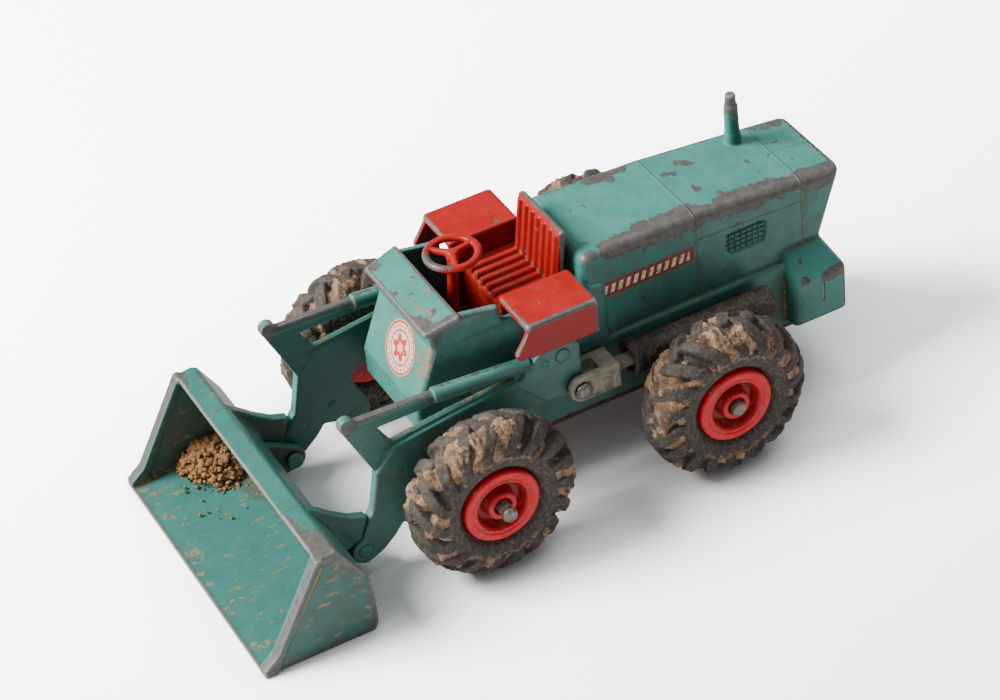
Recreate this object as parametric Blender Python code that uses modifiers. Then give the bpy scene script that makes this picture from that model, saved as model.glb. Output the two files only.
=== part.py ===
"""Die-cast toy wheel loader: body, seat unit, lift arms, tipping bucket and four free wheels.

The outlines are written in millimetres, with Y = 0 at the front axle, -Y to the front, +Z up and
the ground at Z = 0. FRAME_SHIFT moves them so that the origin lies under the middle of the toy.
"""
import math

import bpy
import bmesh
from mathutils import Matrix, Vector

MM = 0.001
COLLECTION = "toy_wheel_loader"

# Driving dimensions, in millimetres
WHEEL_R = 12.6
WHEELBASE = 37.5
TYRE_INNER_X = 16.2
TYRE_OUTER_X = 24.9
RIM_R = 5.8
RIM_FACE_X = 24.4
AXLE_R = 1.0
FRONT_AXLE_HALF = 26.9
REAR_AXLE_HALF = 25.4
GAP = 0.3
RUN_GAP = 0.35

BUCKET_HALF = 23.8
BUCKET_LIP_Y = -37.9
BUCKET_WALL = 1.2
EAR_THICK = 1.4

BODY_HALF = 8.9
SKIRT_HALF = 9.5
SKIRT_Z = 9.5
BODY_REAR_Y = 66.4
REAR_ROUNDING = 0.31
BASE_TOP_Z = SKIRT_Z - GAP
BASE_THICK = 1.2

ARM_INNER_X = 11.9
ARM_WEB = 1.1
ARM_THICK = 1.7
ARM_KNOB = (-16.6, 27.1)
LIFT_PIVOT = (16.4, 24.5)
BUCKET_PIVOT = (-16.8, 4.6)
RAM_PIVOT = (18.3, 18.4)
PIN_R = 0.8
RAM_X = ARM_INNER_X + ARM_THICK / 2

FENDER_TOP_Z = 33.6
FRAME_SHIFT = -(BODY_REAR_Y - REAR_ROUNDING + BUCKET_LIP_Y) / 2

MATERIALS = {
    "teal_enamel": ((0.05, 0.27, 0.26, 1.0), 0.45, 0.0),
    "red_enamel": ((0.45, 0.02, 0.02, 1.0), 0.35, 0.0),
    "red_plastic": ((0.55, 0.02, 0.02, 1.0), 0.4, 0.0),
    "black_base": ((0.03, 0.025, 0.02, 1.0), 0.6, 0.0),
    "bare_zinc": ((0.38, 0.37, 0.34, 1.0), 0.45, 0.8),
    "steel": ((0.45, 0.44, 0.42, 1.0), 0.35, 1.0),
    "tyre_rubber": ((0.03, 0.03, 0.03, 1.0), 0.8, 0.0),
}


# ---------------------------------------------------------------- helpers
def clear_scene():
    for obj in list(bpy.data.objects):
        bpy.data.objects.remove(obj, do_unlink=True)


def make_collection(name):
    collection = bpy.data.collections.new(name)
    bpy.context.scene.collection.children.link(collection)
    return collection


def world(x, y, z):
    """Millimetres from the front axle to metres in the part's frame."""
    return Vector((x * MM, (y + FRAME_SHIFT) * MM, z * MM))


def material(name):
    found = bpy.data.materials.get(name)
    if found:
        return found
    colour, roughness, metallic = MATERIALS[name]
    made = bpy.data.materials.new(name)
    made.use_nodes = True
    shader = made.node_tree.nodes["Principled BSDF"]
    shader.inputs["Base Color"].default_value = colour
    shader.inputs["Roughness"].default_value = roughness
    shader.inputs["Metallic"].default_value = metallic
    return made


def add_object(name, mesh):
    obj = bpy.data.objects.new(name, mesh)
    parts.objects.link(obj)
    return obj


def box(name, low, high):
    """A box between two corners."""
    mesh = bpy.data.meshes.new(name)
    shape = bmesh.new()
    bmesh.ops.create_cube(shape, size=1.0)
    low_corner = world(*low)
    high_corner = world(*high)
    size = high_corner - low_corner
    for vertex in shape.verts:
        vertex.co = low_corner + Vector(((vertex.co.x + 0.5) * size.x, (vertex.co.y + 0.5) * size.y,
                                         (vertex.co.z + 0.5) * size.z))
    shape.to_mesh(mesh)
    shape.free()
    return add_object(name, mesh)


def rod(name, start, end, radius, end_radius=None, sides=16):
    """A cylinder or cone between two points."""
    first = world(*start)
    axis = world(*end) - first
    mesh = bpy.data.meshes.new(name)
    shape = bmesh.new()
    second_radius = radius if end_radius is None else end_radius
    bmesh.ops.create_cone(shape, cap_ends=True, segments=sides, radius1=radius * MM,
                          radius2=second_radius * MM, depth=axis.length)
    turn = axis.to_track_quat("Z", "Y").to_matrix().to_4x4()
    bmesh.ops.transform(shape, matrix=Matrix.Translation(first + axis / 2) @ turn, verts=shape.verts)
    shape.to_mesh(mesh)
    shape.free()
    return add_object(name, mesh)


def face_outward(shape):
    bmesh.ops.recalc_face_normals(shape, faces=shape.faces)
    if shape.calc_volume(signed=True) < 0.0:
        bmesh.ops.reverse_faces(shape, faces=shape.faces)


def flat(name, points, thickness, to_world):
    """A flat outline as a filled 2D curve, made a mesh and laid in place by to_world(u, v, depth)."""
    curve = bpy.data.curves.new(name, "CURVE")
    curve.dimensions = "2D"
    curve.fill_mode = "BOTH"
    curve.extrude = thickness * MM / 2
    spline = curve.splines.new("POLY")
    spline.points.add(len(points) - 1)
    for point, (u, v) in zip(spline.points, points):
        point.co = (u * MM, v * MM, 0.0, 1.0)
    spline.use_cyclic_u = True
    guide = bpy.data.objects.new(name + "_curve", curve)
    parts.objects.link(guide)
    depsgraph = bpy.context.evaluated_depsgraph_get()
    mesh = bpy.data.meshes.new_from_object(guide.evaluated_get(depsgraph))
    bpy.data.objects.remove(guide)
    shape = bmesh.new()
    shape.from_mesh(mesh)
    bmesh.ops.remove_doubles(shape, verts=shape.verts, dist=0.000001)
    for vertex in shape.verts:
        vertex.co = world(*to_world(vertex.co.x / MM, vertex.co.y / MM, vertex.co.z / MM))
    face_outward(shape)
    shape.to_mesh(mesh)
    shape.free()
    mesh.name = name
    return add_object(name, mesh)


def side_plate(name, points, low_x, high_x):
    """An outline of (y, z) points, as thick as the distance between two X planes."""
    middle = (low_x + high_x) / 2
    return flat(name, points, high_x - low_x, lambda y, z, depth: (middle + depth, y, z))


def front_plate(name, points, low_y, high_y):
    """An outline of (x, z) points, extruded along Y."""
    middle = (low_y + high_y) / 2
    return flat(name, points, high_y - low_y, lambda x, z, depth: (x, middle + depth, z))


def turned(name, profile, centre, axis, steps=48):
    """A closed (radius, height) profile turned about an axis through centre."""
    mesh = bpy.data.meshes.new(name)
    shape = bmesh.new()
    verts = [shape.verts.new((radius * MM, 0.0, height * MM)) for radius, height in profile]
    for first, second in zip(verts, verts[1:]):
        shape.edges.new((first, second))
    if profile[0][0] > 0.0:
        shape.edges.new((verts[-1], verts[0]))
    shape.to_mesh(mesh)
    shape.free()
    obj = add_object(name, mesh)
    screw = obj.modifiers.new("turn", "SCREW")
    screw.axis = "Z"
    screw.steps = steps
    screw.render_steps = steps
    screw.use_merge_vertices = True
    screw.merge_threshold = 0.00001
    depsgraph = bpy.context.evaluated_depsgraph_get()
    solid = bpy.data.meshes.new_from_object(obj.evaluated_get(depsgraph))
    bpy.data.objects.remove(obj)
    shape = bmesh.new()
    shape.from_mesh(solid)
    bmesh.ops.remove_doubles(shape, verts=shape.verts, dist=0.000001)
    turn = Vector(axis).to_track_quat("Z", "Y").to_matrix().to_4x4()
    bmesh.ops.transform(shape, matrix=Matrix.Translation(world(*centre)) @ turn, verts=shape.verts)
    face_outward(shape)
    shape.to_mesh(solid)
    shape.free()
    solid.name = name
    return add_object(name, solid)


def bevel(obj, width, segments=2, angle=40):
    made = obj.modifiers.new("bevel", "BEVEL")
    made.width = width * MM
    made.segments = segments
    made.limit_method = "ANGLE"
    made.angle_limit = math.radians(angle)
    return obj


def combine(obj, tool, operation):
    """Boolean with a tool object, which stays in the cutters collection as a hidden wire."""
    made = obj.modifiers.new(tool.name, "BOOLEAN")
    made.operation = operation
    made.solver = "EXACT"
    made.object = tool
    parts.objects.unlink(tool)
    cutters.objects.link(tool)
    tool.hide_render = True
    tool.display_type = "WIRE"


def cut(obj, *tools):
    for tool in tools:
        combine(obj, tool, "DIFFERENCE")


def join(obj, *tools):
    for tool in tools:
        combine(obj, tool, "UNION")


def finish(obj, slot, pivot=None):
    """Give the piece its material, and its origin on its joint's axis when it moves."""
    obj.data.materials.clear()
    obj.data.materials.append(material(slot))
    obj.data.shade_smooth()
    obj.data.set_sharp_from_angle(angle=math.radians(35))
    if pivot:
        place = world(*pivot)
        obj.data.transform(Matrix.Translation(-place))
        obj.location = place
    return obj


def arc(centre, radius, start, end, steps):
    """Points on an arc in degrees, ends included."""
    points = []
    for index in range(steps + 1):
        angle = math.radians(start + (end - start) * index / steps)
        points.append((centre[0] + radius * math.cos(angle), centre[1] + radius * math.sin(angle)))
    return points


def mirrored(side, low_x, high_x):
    """The X range on the left (+1) or on the right (-1) side."""
    return (low_x, high_x) if side > 0 else (-high_x, -low_x)


# ---------------------------------------------------------------- body casting
HOOD_FRONT_Y = 23.0
HOOD_TOP = [(HOOD_FRONT_Y, 35.4), (41.4, 34.8), (60.4, 33.1), (BODY_REAR_Y, 32.5)]
HOOD_REAR_FOOT = (62.2, 21.0)
HOOD_NARROWING = 0.6
HOOD_ROUNDING = 1.5
CAB_RIM_Z = 33.8
CAB_HALF = 9.5
WELL_HALF = 8.3
WELL_FLOOR_Z = 20.4
WELL_FRONT_Y = 1.6
WELL_REAR_Y = HOOD_FRONT_Y - 1.4
HOOD_WALL = 2.0
CAB_WALL = 1.9
COWL_FRONT = (-2.0, 33.6)
COWL_REAR = (3.4, 35.0)
COWL_HALF = 9.9
COWL_THICK = 0.9
COWL_FRONT_SHARE = 0.93
NOSE_TOP = (-0.6, 29.6)
NOSE_FOLD = (-4.2, 21.0)
NOSE_BOTTOM = (-4.3, 16.7)
NOSE_HALF = 8.6
NOSE_FOOT_HALF = 8.4
WEIGHT_HALF = 12.2
WEIGHT_FRONT_Y = 55.0
WEIGHT_REAR_Y = 64.2
WEIGHT_Z = 10.1
STACK = (-5.2, 56.0)


def reshape(obj, rule):
    """Move each corner in X by a rule of its own (x, y, z) in millimetres."""
    for vertex in obj.data.vertices:
        x = vertex.co.x / MM
        y = vertex.co.y / MM - FRAME_SHIFT
        z = vertex.co.z / MM
        vertex.co.x = rule(x, y, z) * MM
    shape = bmesh.new()
    shape.from_mesh(obj.data)
    bmesh.ops.triangulate(shape, faces=shape.faces)
    shape.to_mesh(obj.data)
    shape.free()


def body_casting():
    hood_outline = HOOD_TOP + [HOOD_REAR_FOOT, (HOOD_REAR_FOOT[0], 14.0), (HOOD_FRONT_Y, 14.0)]
    body = side_plate("body_casting", hood_outline, -BODY_HALF, BODY_HALF)

    def narrow(x, y, z):
        along = max(0.0, (y - HOOD_FRONT_Y) / (BODY_REAR_Y - HOOD_FRONT_Y))
        return x * (1.0 - HOOD_NARROWING * along / BODY_HALF)

    reshape(body, narrow)
    bevel(body, HOOD_ROUNDING, 3)

    cab_outline = [(COWL_REAR[0] + 0.3, CAB_RIM_Z + 0.8), (0.9, CAB_RIM_Z - 0.1),
                   (NOSE_TOP[0] - 0.6, 32.2), NOSE_TOP, NOSE_FOLD, NOSE_BOTTOM, (-1.9, 15.0),
                   (1.2, SKIRT_Z + 2.0),
                   (HOOD_FRONT_Y + 3.0, SKIRT_Z + 2.0), (HOOD_FRONT_Y + 3.0, 30.2), (9.9, 31.0),
                   (9.4, CAB_RIM_Z - 0.3)]
    cab = side_plate("cab_block", cab_outline, -CAB_HALF, CAB_HALF)

    def nose_width(x, y, z):
        if y > 1.1:
            return x
        if z < 17.0:
            return x * NOSE_FOOT_HALF / CAB_HALF
        return x * NOSE_HALF / CAB_HALF

    reshape(cab, nose_width)
    bevel(cab, 0.35, 1, 30)
    join(body, cab)

    skirt = box("skirt_block", (-SKIRT_HALF, 4.0, SKIRT_Z), (SKIRT_HALF, WEIGHT_FRONT_Y + 2.0, 20.6))
    join(body, bevel(skirt, 0.5))

    weight_outline = [(-WEIGHT_HALF, WEIGHT_Z), (WEIGHT_HALF, WEIGHT_Z), (WEIGHT_HALF, 17.9),
                      (BODY_HALF, 22.4), (-BODY_HALF, 22.4), (-WEIGHT_HALF, 17.9)]
    weight = front_plate("counterweight", weight_outline, WEIGHT_FRONT_Y, WEIGHT_REAR_Y)
    for vertex in weight.data.vertices:
        if vertex.co.y > world(0, WEIGHT_REAR_Y - 1.0, 0).y and vertex.co.z > 20 * MM:
            vertex.co.y -= 2.4 * MM
    join(body, bevel(weight, 1.2, 3))

    stack_x, stack_y = STACK
    join(body, rod("stack_foot", (stack_x, stack_y, 32.0), (stack_x, stack_y, 35.2), 1.5, 1.25))
    join(body, rod("stack_pipe", (stack_x, stack_y, 35.0), (stack_x, stack_y, 40.0), 1.15, 1.05))
    join(body, rod("stack_cap", (stack_x, stack_y, 39.8), (stack_x, stack_y, 41.9), 0.88, 0.8))

    hood_inner = [(HOOD_FRONT_Y + 1.6, SKIRT_Z - 2.0), (HOOD_FRONT_Y + 1.6, 33.6), (41.4, 33.2),
                  (60.0, 31.4), (60.0, 22.0), (WEIGHT_FRONT_Y - 1.0, 20.0),
                  (WEIGHT_FRONT_Y - 1.0, SKIRT_Z - 2.0)]
    hood_half = BODY_HALF - HOOD_WALL
    cut(body, side_plate("hood_hollow", hood_inner, -hood_half, hood_half))
    cab_half = SKIRT_HALF - CAB_WALL
    cut(body, box("cab_hollow", (-cab_half, 7.0, SKIRT_Z - 2.0), (cab_half, HOOD_FRONT_Y + 2.0, 19.0)))
    cut(body, box("cab_well", (-WELL_HALF, WELL_FRONT_Y, WELL_FLOOR_Z), (WELL_HALF, WELL_REAR_Y, 40.0)))
    cowl_outline = [COWL_FRONT, COWL_REAR, (COWL_REAR[0], COWL_REAR[1] - COWL_THICK),
                    (COWL_FRONT[0], COWL_FRONT[1] - COWL_THICK)]
    cowl = side_plate("cowl_plate", cowl_outline, -COWL_HALF, COWL_HALF)
    reshape(cowl, lambda x, y, z: x * (COWL_FRONT_SHARE if y < 0.0 else 1.0))
    join(body, bevel(cowl, 0.2, 1))
    across = WEIGHT_HALF + 3.0
    for name, y in (("front_axle_bore", 0.0), ("rear_axle_bore", WHEELBASE)):
        cut(body, rod(name, (-across, y, WHEEL_R), (across, y, WHEEL_R), AXLE_R + RUN_GAP))
    cut(body, rod("pivot_bore", (-across, *LIFT_PIVOT), (across, *LIFT_PIVOT), PIN_R + GAP))
    for name, y in zip(("front_rivet_bore", "rear_rivet_bore"), BASE_RIVET_Y):
        cut(body, rod(name, (0, y, SKIRT_Z - 4.0), (0, y, RIVET_TOP_Z + 0.4 + GAP), RIVET_R + GAP))
    return finish(body, "teal_enamel")


# ---------------------------------------------------------------- base plate, rams and rivets
BASE_RIVET_Y = (4.6, 58.4)
RIVET_R = 0.9
RIVET_TOP_Z = 12.0
BARREL_R = 2.3
COLLAR_R = 2.75
BORE_R = 1.75
BARREL_Y = (26.8, 50.5)
BARREL_Z = 18.4
CRADLE_Y = (43.5, 50.0)
ROD_R = 1.05
ROD_END_Y = 37.5
FORK_REAR_Y = 24.4
FORK_REACH = 1.5
SIDE_GAP = 0.4


def base_plate():
    bottom = BASE_TOP_Z - BASE_THICK
    base = box("base_plate", (-8.6, 2.0, bottom), (8.6, WEIGHT_FRONT_Y + 6.5, BASE_TOP_Z))
    bevel(base, 0.3, 1)
    for side in (1, -1):
        front_y, rear_y = CRADLE_Y
        low, high = mirrored(side, 7.4, RAM_X + 0.2)
        wing = box("base_wing", (low, front_y + 0.1, bottom + 0.1), (high, rear_y - 0.1, BASE_TOP_Z - 0.1))
        low, high = mirrored(side, SKIRT_HALF + GAP, RAM_X + BARREL_R)
        cradle = box("ram_cradle", (low, front_y, bottom), (high, rear_y, BARREL_Z - BARREL_R - GAP))
        join(base, wing, bevel(cradle, 0.3, 1))
    for rivet_y in BASE_RIVET_Y:
        cut(base, rod("base_bore", (0, rivet_y, bottom - 1), (0, rivet_y, BASE_TOP_Z + 1), RIVET_R + GAP))
    return finish(base, "black_base")


def base_rivets():
    head_top = BASE_TOP_Z - BASE_THICK - GAP
    for name, rivet_y in zip(("base_rivet_front", "base_rivet_rear"), BASE_RIVET_Y):
        profile = [(0.0, RIVET_TOP_Z), (RIVET_R, RIVET_TOP_Z), (RIVET_R, head_top), (2.0, head_top),
                   (1.9, head_top - 0.4), (1.2, head_top - 0.8), (0.0, head_top - 0.9)]
        finish(turned(name, profile, (0, rivet_y, 0), (0, 0, 1), 16), "bare_zinc")


def ram_barrel(name, side):
    front, rear = BARREL_Y
    bore_end = rear - 4.0
    profile = [(0.0, bore_end), (BORE_R, bore_end), (BORE_R, front), (COLLAR_R - 0.3, front),
               (COLLAR_R, front + 0.3), (COLLAR_R, front + 3.4), (COLLAR_R - 0.3, front + 3.7),
               (BARREL_R, front + 3.7), (BARREL_R, rear), (0.0, rear)]
    barrel = turned(name, profile, (side * RAM_X, 0, BARREL_Z), (0, 1, 0), 24)
    return finish(barrel, "black_base")


def ram_rod(name, side):
    """Fork, shank and sliding rod; it hangs on the rivet at the foot of the lift arm."""
    pivot_y, pivot_z = RAM_PIVOT
    leg_half = 1.95
    leg = [(FORK_REAR_Y, pivot_z - leg_half), (FORK_REAR_Y, pivot_z + leg_half)]
    leg += arc((pivot_y, pivot_z), leg_half, 90, 270, 12)
    arm_outer = ARM_INNER_X + ARM_THICK
    fork = side_plate(name, leg, *mirrored(side, arm_outer + SIDE_GAP, arm_outer + FORK_REACH))
    inner = side_plate("fork_leg", leg, *mirrored(side, ARM_INNER_X - FORK_REACH, ARM_INNER_X - SIDE_GAP))
    low, high = mirrored(side, ARM_INNER_X - FORK_REACH, arm_outer + FORK_REACH)
    bridge = box("fork_bridge", (low, 21.6, pivot_z - leg_half), (high, FORK_REAR_Y, pivot_z + leg_half))
    shank = rod("ram_shank", (side * RAM_X, FORK_REAR_Y - 1.0, pivot_z), (side * RAM_X, ROD_END_Y, pivot_z),
                ROD_R)
    join(fork, inner, bridge, shank)
    cut(fork, rod("fork_bore", (low - 1, *RAM_PIVOT), (high + 1, *RAM_PIVOT), PIN_R + GAP))
    return finish(fork, "bare_zinc", (side * RAM_X, *RAM_PIVOT))


def ram_rivet(name, side):
    """Domed rivet through the fork and the lug of the arm."""
    inner_end = ARM_INNER_X - FORK_REACH - GAP
    outer_face = ARM_INNER_X + ARM_THICK + FORK_REACH + GAP
    profile = [(0.0, inner_end - 0.6), (1.3, inner_end - 0.6), (1.3, inner_end), (PIN_R, inner_end),
               (PIN_R, outer_face), (1.5, outer_face), (1.4, outer_face + 0.35), (0.8, outer_face + 0.7),
               (0.0, outer_face + 0.8)]
    rivet = turned(name, profile, (0, *RAM_PIVOT), (side, 0, 0), 16)
    return finish(rivet, "bare_zinc", (side * RAM_X, *RAM_PIVOT))


# ---------------------------------------------------------------- red seat unit and steering wheel
FENDER_INNER_X = 7.9
FENDER_OUTER_X = 15.9
FENDER_FRONT_Y = 10.4
FENDER_REAR_Y = 21.6
FENDER_SKIRT_Z = 28.2
FENDER_WALL = 1.0
FLOOR_THICK = 1.2
COLUMN_FOOT_Y = 6.0
COLUMN_R = 0.8
CUSHION_Z = 29.6
SEAT_HALF = 6.0
WHEEL_HUB = (0.0, 7.7, 37.7)
RING_R = 3.65
RING_THICK = 1.0
RIB_COUNT = 7


def seat_unit():
    half = WELL_HALF - GAP
    floor_z = WELL_FLOOR_Z + GAP
    floor = box("seat_unit", (-half, WELL_FRONT_Y + GAP, floor_z),
                (half, WELL_REAR_Y - GAP, floor_z + FLOOR_THICK))
    block = [(12.2, 21.0), (21.2, 21.0), (21.2, CUSHION_Z), (12.8, CUSHION_Z - 0.2),
             (12.0, CUSHION_Z - 0.9)]
    join(floor, side_plate("seat_block", block, -7.6, 7.6))
    back = [(19.9, CUSHION_Z - 1.0), (21.1, CUSHION_Z - 1.0), (22.5, 38.4), (22.2, 38.9), (21.4, 38.7)]
    join(floor, bevel(side_plate("seat_back", back, -SEAT_HALF, SEAT_HALF), 0.35))
    pitch = 2 * SEAT_HALF / RIB_COUNT
    for index in range(RIB_COUNT):
        x = -SEAT_HALF + pitch * (index + 0.5)
        join(floor, rod("cushion_rib", (x, 12.2, CUSHION_Z), (x, 20.6, CUSHION_Z), 0.62, sides=12))
        join(floor, rod("back_rib", (x, 20.15, CUSHION_Z), (x, 21.4, 38.2), 0.6, sides=12))
    for side in (1, -1):
        join(floor, fender(side))
    cut(floor, rod("column_bore", (0, COLUMN_FOOT_Y, 19.0), (0, COLUMN_FOOT_Y, 23.0), 0.9 + GAP))
    return finish(floor, "red_enamel")


def fender(side):
    low, high = mirrored(side, FENDER_INNER_X - 0.8, FENDER_OUTER_X)
    shell = box("fender_shell", (low, FENDER_FRONT_Y, 22.0), (high, FENDER_REAR_Y, FENDER_TOP_Z))
    bevel(shell, 0.5)
    underside = 15.0
    low, high = mirrored(side, FENDER_INNER_X, FENDER_OUTER_X - FENDER_WALL)
    hollow = box("fender_hollow", (low, FENDER_FRONT_Y - 2.0, underside),
                 (high, FENDER_REAR_Y - FENDER_WALL, FENDER_TOP_Z - FENDER_WALL))
    low, high = mirrored(side, FENDER_INNER_X - 0.1, FENDER_OUTER_X + 2.0)
    below = box("fender_below", (low, FENDER_FRONT_Y - 3.0, underside),
                (high, FENDER_REAR_Y + 2.0, FENDER_SKIRT_Z))
    low, high = mirrored(side, FENDER_INNER_X + 0.1, BODY_HALF + 0.9)
    rear_slot = box("fender_slot", (low, FENDER_REAR_Y - 3.0, underside), (high, FENDER_REAR_Y + 2.0, 31.5))
    cut(shell, hollow, below, rear_slot)
    lobe = [(FENDER_FRONT_Y + 1.5, 32.6), (FENDER_FRONT_Y + 0.2, 32.6), (8.6, 29.6)]
    lobe += arc((9.4, 29.1), 0.9, 170, 300, 5) + [(FENDER_FRONT_Y + 1.5, FENDER_SKIRT_Z + 0.1)]
    low, high = mirrored(side, FENDER_OUTER_X - 0.9, FENDER_OUTER_X - 0.05)
    join(shell, side_plate("fender_lobe", lobe, low, high))
    return shell


def steering_wheel():
    centre = WHEEL_HUB
    ring_profile = arc((RING_R, 0.0), RING_THICK / 2, 0, 315, 7)
    wheel = turned("steering_wheel", ring_profile, centre, (0, 0, 1), 24)
    for angle in (102, 222, 342):
        turn = math.radians(angle)
        reach = RING_R - 0.15
        tip = (reach * math.cos(turn), centre[1] + reach * math.sin(turn), centre[2])
        join(wheel, rod("steering_spoke", (0.0, centre[1], centre[2]), tip, 0.38, sides=12))
    join(wheel, rod("steering_hub", (0, centre[1], centre[2] - 0.7), (0, centre[1], centre[2] + 0.5), 0.95))
    foot = (0, COLUMN_FOOT_Y, WELL_FLOOR_Z + 0.4)
    join(wheel, rod("steering_column", foot, (0, centre[1], centre[2]), COLUMN_R))
    return finish(wheel, "red_enamel")


# ---------------------------------------------------------------- lift arms, pins and bucket
def arm_outlines():
    """Thin upper web with the nose, and the thicker lower plate with the lobe and the lugs."""
    elbow = (-13.5, 17.3)
    web = [(-17.5, 26.3), (-17.0, 27.1), (-15.6, 27.3), (-2.9, 26.7), (10.5, 25.4), (11.0, 21.5),
           (-1.4, 21.0), (-10.4, 19.8), elbow]
    window = [(-12.3, 24.7), (-10.3, 21.3), (-1.5, 22.4), (9.2, 23.3), (9.2, 23.6), (-3.2, 24.6)]
    tip = arc(BUCKET_PIVOT, 2.1, 100, 300, 9)
    foot = arc(RAM_PIVOT, 1.85, 15, -120, 6)
    lower = [elbow, (-10.4, 20.7), (-1.5, 21.9), (9.8, 23.1), (11.6, 24.9), (13.0, 26.3), (18.4, 26.3),
             (19.2, 25.5), (19.2, 20.8)] + foot + [(14.6, 17.7), (-3.5, 14.8), (-5.0, 14.2), (-5.5, 13.0),
             (-3.4, 8.4), (-3.0, 6.9), (-3.6, 5.8), (-5.3, 5.4), (-8.2, 6.3), (-10.6, 7.0), (-11.9, 5.4),
             (-14.0, 3.6)] + tip[::-1] + [(-15.4, 10.4), (-14.9, 10.9)]
    return web, window, lower


def lift_arm(name, side):
    web, window, lower = arm_outlines()
    low, high = mirrored(side, ARM_INNER_X, ARM_INNER_X + ARM_THICK)
    arm = side_plate(name, lower, low, high)
    bevel(arm, 0.25, 1)
    low, high = mirrored(side, ARM_INNER_X + 0.05, ARM_INNER_X + ARM_WEB)
    join(arm, bevel(side_plate("arm_web", web, low, high), 0.15, 1))
    centre_x = side * (ARM_INNER_X + ARM_WEB / 2 + 0.1)
    join(arm, rod("arm_rod", (centre_x, -16.9, 26.55), (centre_x, -2.0, 26.1), 0.75, sides=16))
    join(arm, rod("arm_ram", (centre_x, -3.4, 26.0), (centre_x, 11.5, 24.7), 1.15, sides=20))
    low, high = mirrored(side, ARM_INNER_X + 0.05, ARM_INNER_X + ARM_WEB + 0.4)
    join(arm, rod("arm_knob", (low, *ARM_KNOB), (high, *ARM_KNOB), 1.2, sides=16))
    low, high = mirrored(side, ARM_INNER_X - 1, ARM_INNER_X + ARM_THICK + 1)
    cut(arm, side_plate("arm_window", window, low, high))
    for pivot in (LIFT_PIVOT, BUCKET_PIVOT, RAM_PIVOT):
        cut(arm, rod("arm_bore", (low, *pivot), (high, *pivot), PIN_R + GAP))
    return finish(arm, "teal_enamel", (side * RAM_X, *LIFT_PIVOT))


def lift_pin(name, side):
    """Stub pin from the cab wall through the rear of the lift arm."""
    inner_end = WELL_HALF - GAP
    outer_end = ARM_INNER_X + ARM_THICK + 0.15
    profile = [(0.0, inner_end), (PIN_R, inner_end), (PIN_R, outer_end - 0.15), (PIN_R - 0.15, outer_end),
               (0.0, outer_end)]
    return finish(turned(name, profile, (0, *LIFT_PIVOT), (side, 0, 0), 16), "steel")


def bucket_pin(name, side):
    """Short headed pin through the arm's tip and the ear of the bucket."""
    inner_head = ARM_INNER_X - SIDE_GAP - EAR_THICK - GAP
    outer_end = ARM_INNER_X + ARM_THICK + 0.1
    profile = [(0.0, inner_head - 0.5), (1.2, inner_head - 0.5), (1.3, inner_head), (PIN_R, inner_head),
               (PIN_R, outer_end - 0.15), (PIN_R - 0.15, outer_end), (0.0, outer_end)]
    pin = turned(name, profile, (0, *BUCKET_PIVOT), (side, 0, 0), 16)
    return finish(pin, "steel", (side * RAM_X, *BUCKET_PIVOT))


def bucket():
    half = BUCKET_HALF
    lip = BUCKET_LIP_Y
    heel_y = -21.2
    outer = [(lip, 0.0), (heel_y, 0.0), (-20.5, 0.5), (-20.2, 1.4), (-20.2, 5.4), (-20.5, 8.7),
             (-21.5, 11.3), (-24.4, 16.3), (-25.0, 16.7), (-27.9, 16.5)]
    inner = [(-27.8, 15.5), (-25.5, 15.5), (-22.5, 10.8), (-21.6, 8.5), (-21.4, 5.4), (-21.5, 1.9),
             (-22.2, 1.3), (lip, 0.4)]
    shell = side_plate("bucket", outer + inner, -half + 0.3, half - 0.3)
    side_shape = [(lip + 1.0, 0.1), (heel_y, 0.05), (-20.6, 0.6), (-20.3, 1.4), (-20.3, 5.4), (-20.6, 8.7),
                  (-21.6, 11.3), (-24.5, 16.2), (-25.1, 16.6), (-27.4, 16.4), (-35.3, 3.0)]
    flange_shape = [(-27.0, 16.5), (-28.0, 16.45), (-35.6, 3.1), (lip - 0.0, 1.2), (lip + 0.0, 0.02),
                    (-36.0, 0.02), (-34.6, 2.6)]
    for side in (1, -1):
        low, high = mirrored(side, half - BUCKET_WALL, half)
        join(shell, bevel(side_plate("bucket_side", side_shape, low, high), 0.15, 1))
        low, high = mirrored(side, half - BUCKET_WALL - 0.3, half + 0.35)
        join(shell, side_plate("bucket_flange", flange_shape, low, high))
        join(shell, *bucket_lugs(side))
    for side in (1, -1):
        low, high = mirrored(side, 8.0, 14.0)
        cut(shell, rod("bucket_bore", (low, *BUCKET_PIVOT), (high, *BUCKET_PIVOT), PIN_R + GAP))
    return finish(shell, "teal_enamel", (0, *BUCKET_PIVOT))


def bucket_lugs(side):
    """Upper bracket in line with the arm, and the hinge ear beside the arm's tip."""
    bracket = [(-20.8, 6.6), (-19.3, 6.2)] + arc(BUCKET_PIVOT, 2.55, 125, 98, 2)
    bracket += [(-15.8, 10.6), (-18.2, 11.5), (-20.6, 13.2), (-22.4, 14.8), (-24.0, 16.0), (-22.0, 11.0)]
    low, high = mirrored(side, ARM_INNER_X + 0.05, ARM_INNER_X + ARM_THICK - 0.05)
    upper = side_plate("bucket_bracket", bracket, low, high)
    ear = arc(BUCKET_PIVOT, 2.0, -100, 80, 10) + [(-20.6, 9.0), (-20.8, 1.6)]
    low, high = mirrored(side, ARM_INNER_X - SIDE_GAP - EAR_THICK, ARM_INNER_X - SIDE_GAP)
    lower = side_plate("bucket_ear", ear, low, high)
    return upper, lower


# ---------------------------------------------------------------- axles and wheels
def axle(name, y, half):
    """Plain steel pin with swaged ends."""
    profile = [(0.0, half), (AXLE_R - 0.1, half), (AXLE_R + 0.15, half - 0.4), (AXLE_R + 0.15, half - 0.9),
               (AXLE_R - 0.15, half - 1.3), (AXLE_R, half - 1.7)]
    profile += [(radius, -height) for radius, height in reversed(profile)]
    return finish(turned(name, profile, (0, y, WHEEL_R), (1, 0, 0), 16), "steel")


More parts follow.
